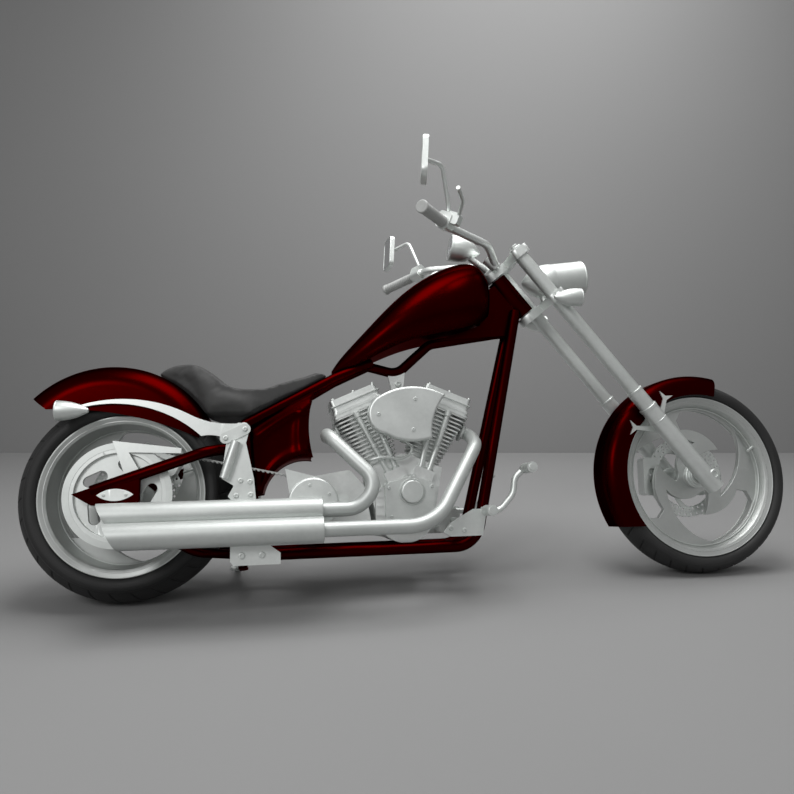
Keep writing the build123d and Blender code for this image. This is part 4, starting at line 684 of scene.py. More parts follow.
EDGE_BREAKS: dict[float, tuple[str, ...]] = {
    0.0012: (
        "front_rim", "rear_rim", "rear_pulley", "fender_struts", "side_plates", "upper_clamp", "lower_clamp",
    ),
    0.0010: (
        "rocker_boxes", "exhaust_bracket", "belt_guard", "axle_covers", "mirrors", "oil_tank", "swingarm",
    ),
}


def dress_nodes() -> None:
    """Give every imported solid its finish, and break the sharp edges of the plates and castings."""
    chosen = {node: finish for finish, nodes in NODE_FINISHES.items() for node in nodes}
    breaks = {node: width for width, nodes in EDGE_BREAKS.items() for node in nodes}
    for name, node in frame["nodes"].items():
        node.data.materials.clear()
        node.data.materials.append(chosen.get(name, SATIN_SILVER).material())
        if name in breaks:
            weld = node.modifiers.new("weld", "WELD")
            weld.merge_threshold = 1e-5
            bevel = node.modifiers.new("edge_break", "BEVEL")
            bevel.width = breaks[name]
            bevel.segments = 2
            bevel.limit_method = "ANGLE"
            bevel.angle_limit = math.radians(40)
            bevel.harden_normals = True
    LOG.info("%d packed solids dressed", len(frame["nodes"]))


@dataclass
class Tyre:
    """A tyre with slanted sipes cut into its tread and fine rings on its sides."""

    node: str
    body: Body
    axle: np.ndarray
    radius: float
    tread_half: float
    tread_edge: float
    side_half: float
    side_radius: float
    bead_half: float
    seat: float
    lip: float
    sipes: int
    steps: int = 840
    wall: float = 11.0
    inside_points: int = 9
    sipe_depth: float = 4.0
    sipe_width: float = 5.0
    slant: float = 0.55
    stagger: float = 0.25
    ring_pitch: float = 5.5
    ring_depth: float = 0.8

    def section(self) -> np.ndarray:
        """Closed section (n, 2) of distance along the axle and radius.

        Returns:
            A bead's two points, its side, the crown, the other side and bead, and the inside.
        """
        foot, shoulder = self.seat + 0.3, self.lip + 1.5
        edge = (self.tread_half, self.tread_edge)
        side = arc((self.bead_half, shoulder), (self.side_half, self.side_radius), edge, 16)
        crown = arc(edge, (0, self.radius), (-edge[0], edge[1]), 61)[1:-1]
        belly = self.bead_half - self.wall
        top = (0, self.radius - 1.4 * self.wall)
        inside = arc((-belly, shoulder), top, (belly, shoulder), self.inside_points)
        bead = np.array([(belly, foot), (self.bead_half, foot)])
        mirror = np.array([-1, 1])
        return np.vstack([bead, side, crown, side[::-1] * mirror, bead[::-1] * mirror, inside])

    def build(self) -> None:
        """Turn the section about the axle and sink the sipes into the crown.

        Each sipe is a slanted line: its angle moves on with the distance from the middle, and
        it fades out at the middle and at the shoulder. Fine rings are sunk into the sides.
        """
        section = self.section()
        angle = turn_steps(self.steps)[:, None]
        y, radius = section[None, :, 0], section[None, :, 1]
        share = np.abs(y) / self.tread_half
        outer = np.zeros(len(section), bool)
        outer[2 : -2 - self.inside_points] = True
        phase = angle / math.tau * self.sipes + self.slant * share + self.stagger * (y > 0)
        off = np.abs(phase % 1.0 - 0.5) * math.tau * self.radius / self.sipes
        sipe = 1 - smoothstep(0.35 * self.sipe_width, 0.65 * self.sipe_width, off)
        window = smoothstep(0.10, 0.2, share) * (1 - smoothstep(0.9, 1.0, share)) * outer
        ring = 0.5 + 0.5 * np.cos((radius - self.lip) / self.ring_pitch * math.tau)
        side = outer * (share > 1.0) * smoothstep(self.lip + 6, self.lip + 14, radius)
        sunk = radius - self.sipe_depth * sipe * window
        flank = y - np.sign(y) * self.ring_depth * ring * side
        points = at_side(sunk[..., None] * polar(angle), flank)
        shape = Shape().grid(points + self.axle, wrap_u=True, wrap_v=True)
        piece = shape.make(f"{self.node}_tread", self.body, TYRE_RUBBER, "tyre_rubber", 30.0)
        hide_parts(self.node)


@dataclass
class Belt:
    """Toothed drive belt round the rear and the drive pulley."""

    drive: Flat = (577.0, 295.0)
    radii: Flat = (148.0, 60.0)
    inner_y: float = -136.0
    width: float = 36.0
    clearance: float = 0.5
    thickness: float = 7.0
    tooth: float = 3.2
    teeth: int = 132
    tooth_wave: tuple[float, ...] = (0.0, 0.0, 0.0, 1.0, 1.0, 1.0)

    def build(self) -> None:
        """Carry a thin section round the belt's line, with teeth on its inner side.

        The line is two arcs and the two straight runs that touch them. The section's inner
        edge dips once for each tooth.
        """
        rear, drive = REAR_AXLE[[0, 2]], np.array(self.drive)
        span = drive - rear
        heading = math.atan2(span[1], span[0])
        outer = [radius + self.clearance + self.thickness for radius in self.radii]
        lift = math.acos((outer[0] - outer[1]) / np.linalg.norm(span))
        big = rear + outer[0] * polar(heading + np.linspace(lift, math.tau - lift, 400))
        small = drive + outer[1] * polar(heading + np.linspace(-lift, lift, 160))
        wave = np.tile(self.tooth_wave, self.teeth)
        line = resample(np.vstack([big, small, big[:1]]), np.linspace(0, 1, len(wave), endpoint=False))
        tangent = unit(np.roll(line, -1, 0) - np.roll(line, 1, 0))
        inward = np.stack([-tangent[:, 1], tangent[:, 0]], -1)
        low = line + inward * (self.thickness - self.tooth + self.tooth * wave)[:, None]
        near, far = self.inner_y, self.inner_y - self.width
        corners = [at_side(line, near), at_side(line, far), at_side(low, far), at_side(low, near)]
        shape = Shape().grid(np.stack(corners, 1), wrap_u=True, wrap_v=True)
        piece = shape.make("toothed_belt", Body.CHASSIS, BELT_RUBBER, "belt_rubber", 25.0)
        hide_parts("drive_belt")


@dataclass
class Seat:
    """One-piece saddle, padded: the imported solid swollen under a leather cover. Sizes in metres."""

    voxel: float = 0.006
    shrink: float = 0.004
    cap: float = 0.007
    pressure: float = 4.0
    frames: int = 20

    def build(self) -> None:
        """Remesh a copy of the solid, blow it up as cloth, limit the swelling and smooth it."""
        mesh = frame["nodes"]["seat"].data.copy()
        mesh.name = "saddle_cover"
        work = bmesh.new()
        work.from_mesh(mesh)
        bmesh.ops.remove_doubles(work, verts=work.verts, dist=1e-5)
        bmesh.ops.recalc_face_normals(work, faces=work.faces)
        work.to_mesh(mesh)
        work.free()
        piece = bpy.data.objects.new("saddle_cover", mesh)
        bpy.context.scene.collection.objects.link(piece)
        remesh = piece.modifiers.new("remesh", "REMESH")
        remesh.mode = "VOXEL"
        remesh.voxel_size = self.voxel
        self.apply(piece)
        self.pull_in(piece)
        self.swell(piece)
        smooth = piece.modifiers.new("smooth", "SMOOTH")
        smooth.factor = 0.5
        smooth.iterations = 10
        self.apply(piece)
        finer = piece.modifiers.new("finer", "SUBSURF")
        finer.levels = 1
        finer.render_levels = 1
        mesh = piece.data
        mesh.materials.clear()
        mesh.materials.append(SEAT_HIDE.material())
        mesh.polygons.foreach_set("use_smooth", np.ones(len(mesh.polygons), bool))
        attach(piece, Body.CHASSIS.value)
        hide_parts("seat")
        LOG.info("saddle_cover: %d faces", len(mesh.polygons))

    def apply(self, piece: bpy.types.Object) -> None:
        """Bake the piece's modifiers into its mesh."""
        bpy.context.view_layer.update()
        held = piece.evaluated_get(bpy.context.evaluated_depsgraph_get())
        baked = bpy.data.meshes.new_from_object(held)
        piece.modifiers.clear()
        piece.data = baked

    def coordinates(self, mesh: bpy.types.Mesh) -> np.ndarray:
        """Vertex places (n, 3)."""
        flat = np.empty(3 * len(mesh.vertices))
        mesh.vertices.foreach_get("co", flat)
        return flat.reshape(-1, 3)

    def pull_in(self, piece: bpy.types.Object) -> None:
        """Move every point inwards along its normal, so that the swelling ends where the solid was."""
        mesh = piece.data
        normal = np.empty(3 * len(mesh.vertices))
        mesh.vertex_normals.foreach_get("vector", normal)
        moved = self.coordinates(mesh) - self.shrink * normal.reshape(-1, 3)
        mesh.vertices.foreach_set("co", moved.ravel())
        mesh.update()

    def swell(self, piece: bpy.types.Object) -> None:
        """Run the cloth under pressure and keep each point within the cap of where it was."""
        before = self.coordinates(piece.data)
        cloth = piece.modifiers.new("cloth", "CLOTH")
        cloth.settings.use_pressure = True
        cloth.settings.uniform_pressure_force = self.pressure
        cloth.settings.effector_weights.gravity = 0
        scene = bpy.context.scene
        cloth.point_cache.frame_start = 1
        cloth.point_cache.frame_end = self.frames
        for number in range(1, self.frames + 1):
            scene.frame_set(number)
        self.apply(piece)
        scene.frame_set(1)
        step = self.coordinates(piece.data) - before
        size = np.linalg.norm(step, axis=1, keepdims=True)
        limited = before + step * np.minimum(1, self.cap / np.maximum(size, 1e-9))
        piece.data.vertices.foreach_set("co", limited.ravel())
        piece.data.update()


@dataclass
class Lamps:
    """Headlamp, indicators and rear lamps: a bezel and a lens each."""

    lamp_tail: Flat = (1362.0, 1072.0)
    lamp_face: Flat = (1591.0, 1097.0)
    lamp_radius: float = 64.0
    lamp_bulge: float = 9.0
    indicator_root: Flat = (-51.0, 830.0)
    indicator_y: float = 168.0
    indicator_length: float = 93.0
    rear: Point = (-176.0, 187.3, 586.0)
    small_radius: float = 30.0
    small_bulge: float = 6.0
    lens_share: float = 0.9
    lens_gap: float = 0.4

    def dress(
        self, bezels: Shape, lenses: Shape, face: np.ndarray, axis: Point, radius: float, bulge: float
    ) -> None:
        """Add a rolled rim that overlaps the lamp's shell, and a dome just clear of its face.

        Args:
            bezels: what the rim is added to.
            lenses: what the dome is added to.
            face: the middle of the lamp's face.
            axis: the way it looks.
            radius: the face's radius.
            bulge: the dome's height.
        """
        angle = np.linspace(-0.75 * math.pi, 0.75 * math.pi, 12)
        roll = 0.045 * radius + 1.2
        rim = np.stack([roll * np.sin(angle), radius - 0.6 * roll + roll * np.cos(angle)], -1)
        bezels.turned(rim, face, axis, 72)
        edge = self.lens_share * radius
        front = dome(self.lens_gap, bulge, edge, 12)
        lenses.turned([*front, (self.lens_gap, edge), (self.lens_gap, 0.0)], face, axis, 64)

    def build(self) -> None:
        """Dress the lamps at both ends of the machine."""
        tail, face = at_side(self.lamp_tail, 0), at_side(self.lamp_face, 0)
        bezels, lenses, red, tail_bezels = Shape(), Shape(), Shape(), Shape()
        self.dress(bezels, lenses, face, face - tail, self.lamp_radius, self.lamp_bulge)
        root = fork_point(self.indicator_root[0], 0, self.indicator_root[1])
        for way in SIDES:
            front = root + np.array([self.indicator_length, way * self.indicator_y, 0])
            self.dress(bezels, lenses, front, AHEAD, self.small_radius, self.small_bulge)
            back = sided(self.rear, way)
            self.dress(tail_bezels, red, back, BACK, self.small_radius, self.small_bulge)
        bezels.make("front_lamp_bezels", Body.STEERING, POLISHED, SILVER)
        lenses.make("front_lamp_lenses", Body.STEERING, CLEAR_LENS)
        tail_bezels.make("rear_lamp_bezels", Body.CHASSIS, POLISHED, SILVER)
        red.make("rear_lamp_lenses", Body.CHASSIS, RED_LENS)


@dataclass
class Speedometer:
    """Dial, marks, needle, glass and bezel in the cup on the bars."""

    face: Flat = (1099.0, 1206.0)
    axis: Point = (-0.985, 0.0, 0.17)
    rim: float = 42.0
    marks: int = 41
    scale: Flat = (225.0, -45.0)

    def build(self) -> None:
        """Lay a dark dial on the cup's face, marks and a needle on it, and a dome over them."""
        origin, axis, rim = at_side(self.face, 0), unit(self.axis), self.rim
        side = np.array(LEFT)
        up = np.cross(side, axis)
        dial = Shape().turned([(0.2, 0), (0.2, rim), (1.2, rim), (1.2, 0)], origin, axis, 72)
        dial.make("speedometer_dial", Body.STEERING, DIAL_FACE)
        marks = Shape()
        bar = rounded(1.6, 8.0, 0.4, 2)
        first, last = np.radians(self.scale)
        for number, angle in enumerate(np.linspace(first, last, self.marks)):
            out = math.cos(angle) * side + math.sin(angle) * up
            long = 1.0 if number % 5 == 0 else 0.55
            place = origin + 1.3 * axis + (rim - 2 - 4 * long) * out
            marks.plate(bar * np.array([1, long]), place, np.cross(out, axis), out, 0.4)
        needle = math.cos(first) * side + math.sin(first) * up
        outline = np.array([(-2.2, -8), (2.2, -8), (0.6, 30), (-0.6, 30)])
        marks.plate(outline, origin + 2.4 * axis, np.cross(needle, axis), needle, 0.6)
        marks.turned([(1.2, 5), (4.0, 4.5), (4.6, 3.0), (4.6, 0)], origin, axis, 24)
        marks.make("speedometer_marks", Body.STEERING, DIAL_MARK)
        ring = np.array([(-6, 5.5), (2, 6.2), (5, 5.0), (6, 3), (5, 0.5), (0.2, -0.5), (-6, -0.5), (-6, 5.5)])
        bezel = Shape().turned(ring + np.array([0, rim]), origin, axis, 72)
        bezel.make("speedometer_bezel", Body.STEERING, POLISHED, SILVER)
        edge = rim + 0.4
        glass = Shape().turned([*dome(5.0, 3.0, edge, 10), (4.2, edge), (4.2, 0)], origin, axis, 64)
        glass.make("speedometer_glass", Body.STEERING, CLEAR_LENS)


@dataclass
class MirrorGlasses:
    """Glass and a raised rim on each mirror's back."""

    centre: Point = (937.0, 396.0, 1331.0)
    width: float = 96.0
    height: float = 136.0
    depth: float = 16.0
    normal: Point = (-0.98, -0.15, 0.08)
    outward: Point = (-0.15, 0.98, 0.0)
    glass_inset: float = 12.0
    rim_inset: float = 7.0
    rim_radius: float = 2.6

    def build(self) -> None:
        """Lay a rounded glass on each housing, inside a rim that follows its outline."""
        glass, rims = Shape(), Shape()
        pane = rounded(self.width - self.glass_inset, self.height - self.glass_inset, 18)
        outline = rounded(self.width - self.rim_inset, self.height - self.rim_inset, 20)
        for way in SIDES:
            normal = unit(sided(self.normal, way))
            first = squared(sided(self.outward, way), normal)
            second = np.cross(normal, first)
            front = sided(self.centre, way) + self.depth * normal
            glass.plate(pane, front + 0.2 * normal, first, second, 0.8)
            path = front + outline[:, 0, None] * first + outline[:, 1, None] * second
            rims.grid(sweep(path, circle(self.rim_radius, 8), normal, closed=True), wrap_u=True, wrap_v=True)
        glass.make("mirror_glasses", Body.STEERING, MIRROR_GLASS)
        rims.make("mirror_rims", Body.STEERING, POLISHED, SILVER)


@dataclass
class Grips:
    """Ribbed hand grips with an end cap."""

    inner: Point = (1005.2, 270.16, 1186.24)
    outer: Point = (922.0, 386.0, 1176.0)
    bore: float = 14.3
    radius: float = 19.0
    ribs: int = 15

    def build(self) -> None:
        """Turn a ribbed profile about each grip: the radius follows a rounded wave along it."""
        shape = Shape()
        full = self.radius
        for way in SIDES:
            start, end = sided(self.inner, way), sided(self.outer, way)
            length = np.linalg.norm(end - start) + 8
            along = np.linspace(2, length - 2, self.ribs * 10 + 1)
            wave = np.abs(np.sin(along / (length - 4) * math.pi * self.ribs)) ** 0.6
            body = np.stack([along, full - 1.9 + 1.8 * wave], -1)
            flange = [(0, self.bore), (0, full), (2, full)]
            tip = [(length, full + 1), (length + 2, full + 2), (length + 9, full + 2)]
            end_cap = [(length + 12, full - 1), (length + 12, 0)]
            shape.turned([*flange, *body, *tip, *end_cap], start, end - start, 40)
        piece = shape.make("ribbed_grips", Body.STEERING, GRIP_RUBBER, "grip_rubber")
        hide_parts("grips")


@dataclass
class BrakeDiscs:
    """Drilled brake discs on curved carriers, one on each wheel."""

    radius: float = 148.0
    ring: float = 38.0
    thickness: float = 5.0
    holes: int = 36
    hole_radius: float = 4.0
    arms: int = 5
    arm_root: float = 38.0
    arm_width: float = 17.0
    arm_sweep: float = 0.9

    def ring_face(self, shape: Shape, origin: np.ndarray, walls: bool) -> None:
        """One face of the drilled ring.

        The ring is a row of cells, two deep. In each cell, points run from the hole's circle
        to the cell's own edge.

        Args:
            shape: what the face is added to.
            origin: the disc's middle on this face.
            walls: whether the holes' walls are added as well.
        """
        count = 16
        round_hole = polar(turn_steps(count) + math.pi / count)
        square = round_hole / np.abs(round_hole).max(1, keepdims=True)
        step = math.tau / self.holes / 2
        depth = self.ring / 4
        for layer in range(2):
            middle = self.radius - self.ring + depth * (1 + 2 * layer)
            hole = self.hole_radius * round_hole
            radius = middle + np.stack([hole[:, 0], depth * square[:, 0]])
            turn = np.arange(self.holes) * 2 * step + layer * step
            theta = turn[:, None, None] + np.stack([hole[:, 1] / middle, step * square[:, 1]])
            for cell in at_side(radius[..., None] * polar(theta), 0) + origin:
                shape.grid(cell, wrap_v=True)
                if walls:
                    wall = np.stack([cell[0], cell[0] - np.array([0, self.thickness, 0])])
                    shape.grid(wall, wrap_v=True)

    def build_one(self, name: str, node: str, body: Body, axle: np.ndarray, inner: float) -> None:
        """Build one disc: drilled ring, rims, swept arms, hub ring and its buttons.

        Args:
            name: the new piece's name.
            node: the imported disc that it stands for.
            body: the wheel.
            axle: the wheel's middle.
            inner: the disc's inner face along the axle.
        """
        shape = Shape()
        outer = inner + self.thickness
        bore = self.radius - self.ring
        self.ring_face(shape, axle + np.array([0, outer, 0]), True)
        self.ring_face(shape, axle + np.array([0, inner, 0]), False)
        for radius in (self.radius, bore):
            shape.turned([(inner, radius), (outer, radius)], axle, LEFT, 144)
        hub = [(inner, 14), (outer, 14), (outer, 42), (inner, 42), (inner, 14)]
        shape.turned(hub, axle, LEFT, 64)
        share = np.linspace(0, 1, 14)
        reach = self.arm_root + (bore + 5 - self.arm_root) * share
        bar = rounded(self.thickness - 0.6, self.arm_width, 1.2, 3)
        button = [(-3.6, 0), (-3.6, 7.5), (3.6, 7.5), (3.6, 4), (2.6, 3), (2.6, 0)]
        for start in turn_steps(self.arms):
            flat = reach[:, None] * polar(start + self.arm_sweep * share**1.4)
            path = axle + at_side(flat, (inner + outer) / 2)
            shape.bar(path, bar[:, ::-1], LEFT)
            shape.turned(button, path[-1], LEFT, 20)
        piece = shape.make(name, body, SATIN_SILVER, SILVER, 30.0)
        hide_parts(node)

    def build(self) -> None:
        """Build both discs."""
        self.build_one("rear_drilled_disc", "rear_rotor", Body.REAR_WHEEL, REAR_AXLE, 96.0)
        self.build_one("front_drilled_disc", "front_rotor", Body.FRONT_WHEEL, FRONT_AXLE, 50.0)


@dataclass
class TankPanels:
    """Sculpted skins on the oil tank's sides: a rolled band under the rail and a ridge in front."""

    flank: float = 92.0
    sunk: float = 4.0
    foot: Flat = (392.0, 322.0)
    top: Flat = (377.0, 540.0)
    leg: Flat = (420.0, 326.0)
    belly: Flat = (482.0, 418.0)
    nose: Flat = (582.0, 438.0)
    front: Flat = (569.0, 540.0)
    crown: Flat = (588.0, 654.0)
    band: float = 10.0
    ridge: float = 9.0
    lip: float = 4.0
    fade: float = 0.05
    count: int = 72

    def patch(self) -> np.ndarray:
        """Fill the outline between its four edges by blending them (a Coons patch).

        Returns:
            X and Z of the points, (count, count, 2): rows go forward, columns go up.
        """
        share = np.linspace(0, 1, self.count)
        foot, top, crown = np.array(self.foot), np.array(self.top), np.array(self.crown)
        lower = resample(np.vstack([foot, arc(self.leg, self.belly, self.nose, 60)]), share)
        upper = top + share[:, None] * (crown - top)
        rear = foot + share[:, None] * (top - foot)
        front = arc(self.nose, self.front, self.crown, self.count)
        u, v = share[:, None, None], share[None, :, None]
        rear_corners = (1 - v) * lower[0] + v * upper[0]
        front_corners = (1 - v) * lower[-1] + v * upper[-1]
        ruled = (1 - v) * lower[:, None] + v * upper[:, None] + (1 - u) * rear + u * front
        return ruled - (1 - u) * rear_corners - u * front_corners

    def relief(self) -> np.ndarray:
        """Height of the skin: a sum of round bumps over a thin sheet, faded out at the edges."""
        share = np.linspace(0, 1, self.count)
        u, v = share[:, None], share[None, :]
        below = 1 - smoothstep(0.70, 0.84, v)
        height = self.band * bell(v, 0.80, 0.10) + self.lip * bell(v, 0.10, 0.08)
        height = height + self.ridge * bell(u, 0.86, 0.08) * below
        fade = smoothstep(0, self.fade, share) * smoothstep(0, self.fade, 1 - share)
        return (2 + height) * fade[:, None] * fade[None, :]

    def build(self) -> None:
        """Lay a raised skin and its back on both sides, and close them round the edge."""
        flat, outer = self.patch(), self.flank - 1 + self.relief()
        shape = Shape()
        for way in SIDES:
            skin = at_side(flat, way * outer)
            back = at_side(flat, way * (self.flank - self.sunk))
            shape.grid(skin).grid(back)
            rims = []
            for sheet in (skin, back):
                rims.append(np.vstack([sheet[:-1, 0], sheet[-1, :-1], sheet[:0:-1, -1], sheet[0, :0:-1]]))
            shape.grid(np.stack(rims), wrap_v=True)
        shape.make("oil_tank_skins", Body.CHASSIS, CANDY_RED, "candy_red")


@dataclass
class Fasteners:
    """Screws and nuts that hold the outer pieces, in the places where they show."""

    air_cleaner_y: float = -170.0
    air_cleaner: tuple = ((790.0, 567.0), (912.0, 616.0), (902.0, 515.0))
    cam_y: float = -114.0
    cam: tuple = ((897.0, 364.0), (824.0, 332.0), (966.0, 334.0), (830.0, 240.0), (950.0, 232.0))
    bracket_y: float = -269.0
    bracket: tuple = ((368.0, 146.0), (425.0, 146.0))
    pulley_cover_y: float = -193.0
    pulley_cover: Flat = (577.0, 290.0)
    pulley_cover_radius: float = 56.0
    pulley_cover_screws: int = 5
    plate_y: float = 189.0
    plate: tuple = ((358.0, 365.0), (386.0, 361.0), (345.0, 320.0), (388.0, 322.0))
    link: tuple = ((313.0, 495.0), (371.0, 522.0))
    link_radius: float = 17.0
    link_thickness: float = 5.0
    axle_cover_y: float = 209.0
    axle_cover_half: float = 31.0
    foot_plate_y: float = 178.0
    foot_plate: tuple = ((1009.0, 198.0), (1052.0, 190.0))
    mount_y: float = 9.0
    mount: tuple = ((882.0, 695.0),)

    def links(self, shape: Shape, way: int) -> None:
        """Strap with round ends that joins a strut's end to the side plate.

        Its outline is two half circles about its screws.

        Args:
            shape: what the strap is added to.
            way: +1 for the left side.
        """
        start, end = np.array(self.link)
        heading = math.atan2(end[1] - start[1], end[0] - start[0])
        half = self.link_radius * polar(heading + math.pi / 2 + np.linspace(0, math.pi, 14))
        outline = np.vstack([start + half, end - half])
        origin = (0.0, way * (self.plate_y - 1.0), 0.0)
        shape.plate(outline, origin, AHEAD, UP, -way * (self.link_thickness + 1.0))
        heads = at_side(self.link, way * (self.plate_y + self.link_thickness))
        shape.bolts(heads, (0, way, 0), 8.0, 5.0)

    def build(self) -> None:
        """Set every screw on the face that it holds; the numbers are the heads' radius and height."""
        shape = Shape()
        turn = turn_steps(self.pulley_cover_screws) + 0.5
        cover = np.array(self.pulley_cover) + self.pulley_cover_radius * polar(turn)
        covers = (
            (self.air_cleaner, self.air_cleaner_y, 6.5, 3.0),
            (self.cam, self.cam_y, 5.5, 4.0),
            (self.bracket, self.bracket_y, 9.5, 6.0),
            (cover, self.pulley_cover_y, 5.0, 3.0),
        )
        for places, y, radius, height in covers:
            shape.bolts(at_side(places, y), RIGHT, radius, height)
        axle_cover = REAR_AXLE[[0, 2]] + np.array([(-self.axle_cover_half, 0), (self.axle_cover_half, 0)])
        pairs = (
            (self.plate, self.plate_y, 8.0, 5.0),
            (axle_cover, self.axle_cover_y, 5.0, 3.0),
            (self.foot_plate, self.foot_plate_y, 8.0, 5.0),
            (self.mount, self.mount_y, 11.0, 7.0),
        )
        for way in SIDES:
            self.links(shape, way)
            for places, y, radius, height in pairs:
                shape.bolts(at_side(places, way * y), (0, way, 0), radius, height)
        shape.make("chassis_screws", Body.CHASSIS, POLISHED, SILVER, 30.0)


@dataclass
class WheelTrim:
    """Lip beads, rings and a valve on each wheel, and the sheet flange that keeps the belt on."""

    lips: tuple = ((110.0, 246.0), (49.5, 285.5))
    bead: float = 2.4
    barrel: Flat = (212.0, 248.0)
    barrel_half: float = 26.5
    pulley_face: float = -172.0
    flange: Flat = (138.0, 157.0)
    flange_foot: float = 8.0
    flange_gap: float = 0.4
    flange_sheet: float = 0.8
    hub: tuple = (
        (-20, 43), (-27, 43), (-29, 40.5), (-29, 37.5), (-35, 37.5), (-37, 35), (-37, 32.5), (-43, 32.5),
        (-45, 30), (-45, 28),
    )
    valve: tuple = (
        (-3, 5.5), (4, 5.5), (7, 3.8), (20, 3.6), (20, 4.6), (31, 4.6), (32, 3.6), (32, 0),
    )
    valve_angle: float = 0.4
    valve_y: float = -30.0
    valve_slant: float = -0.5

    def belt_flange(self, rings: Shape) -> None:
        """Sheet ring on the rear pulley: a foot on its face, and a rim that stands off it."""
        inner, outer = self.flange
        root, step = self.pulley_face + 1, inner + self.flange_foot
        near = self.pulley_face - self.flange_gap
        far = near - self.flange_sheet
        sheet = [(root, inner), (far, inner), (far, outer), (near, outer), (near, step), (root, step)]
        rings.turned(sheet, REAR_AXLE, LEFT, 160)

    def build(self) -> None:
        """Turn the rings about each axle, and stand a valve in each barrel."""
        wheels = ((Body.REAR_WHEEL, REAR_AXLE), (Body.FRONT_WHEEL, FRONT_AXLE))
        loop = self.bead * polar(np.linspace(0, math.tau, 13))
        for (body, axle), (half, lip), barrel in zip(wheels, self.lips, self.barrel):
            rings = Shape()
            for way in SIDES:
                rings.turned(loop + np.array([way * (half + 3.2), lip - 2.6]), axle, LEFT, 160)
                rings.turned(loop * 0.8 + np.array([way * self.barrel_half, barrel - 0.6]), axle, LEFT, 160)
            if body is Body.REAR_WHEEL:
                self.belt_flange(rings)
            else:
                rings.turned(self.hub, axle, LEFT, 72)
                rings.turned(np.array(self.hub) * np.array([-1, 1]), axle, LEFT, 72)
            rings.make(f"{body.value}_rings", body, POLISHED, SILVER)
            out = polar(self.valve_angle)
            foot = axle + at_side(barrel * out, self.valve_y)
            stem = Shape().turned(self.valve, foot, at_side(-out, self.valve_slant), 16)
            stem.make(f"{body.value}_valve", body, SATIN_SILVER, SILVER)


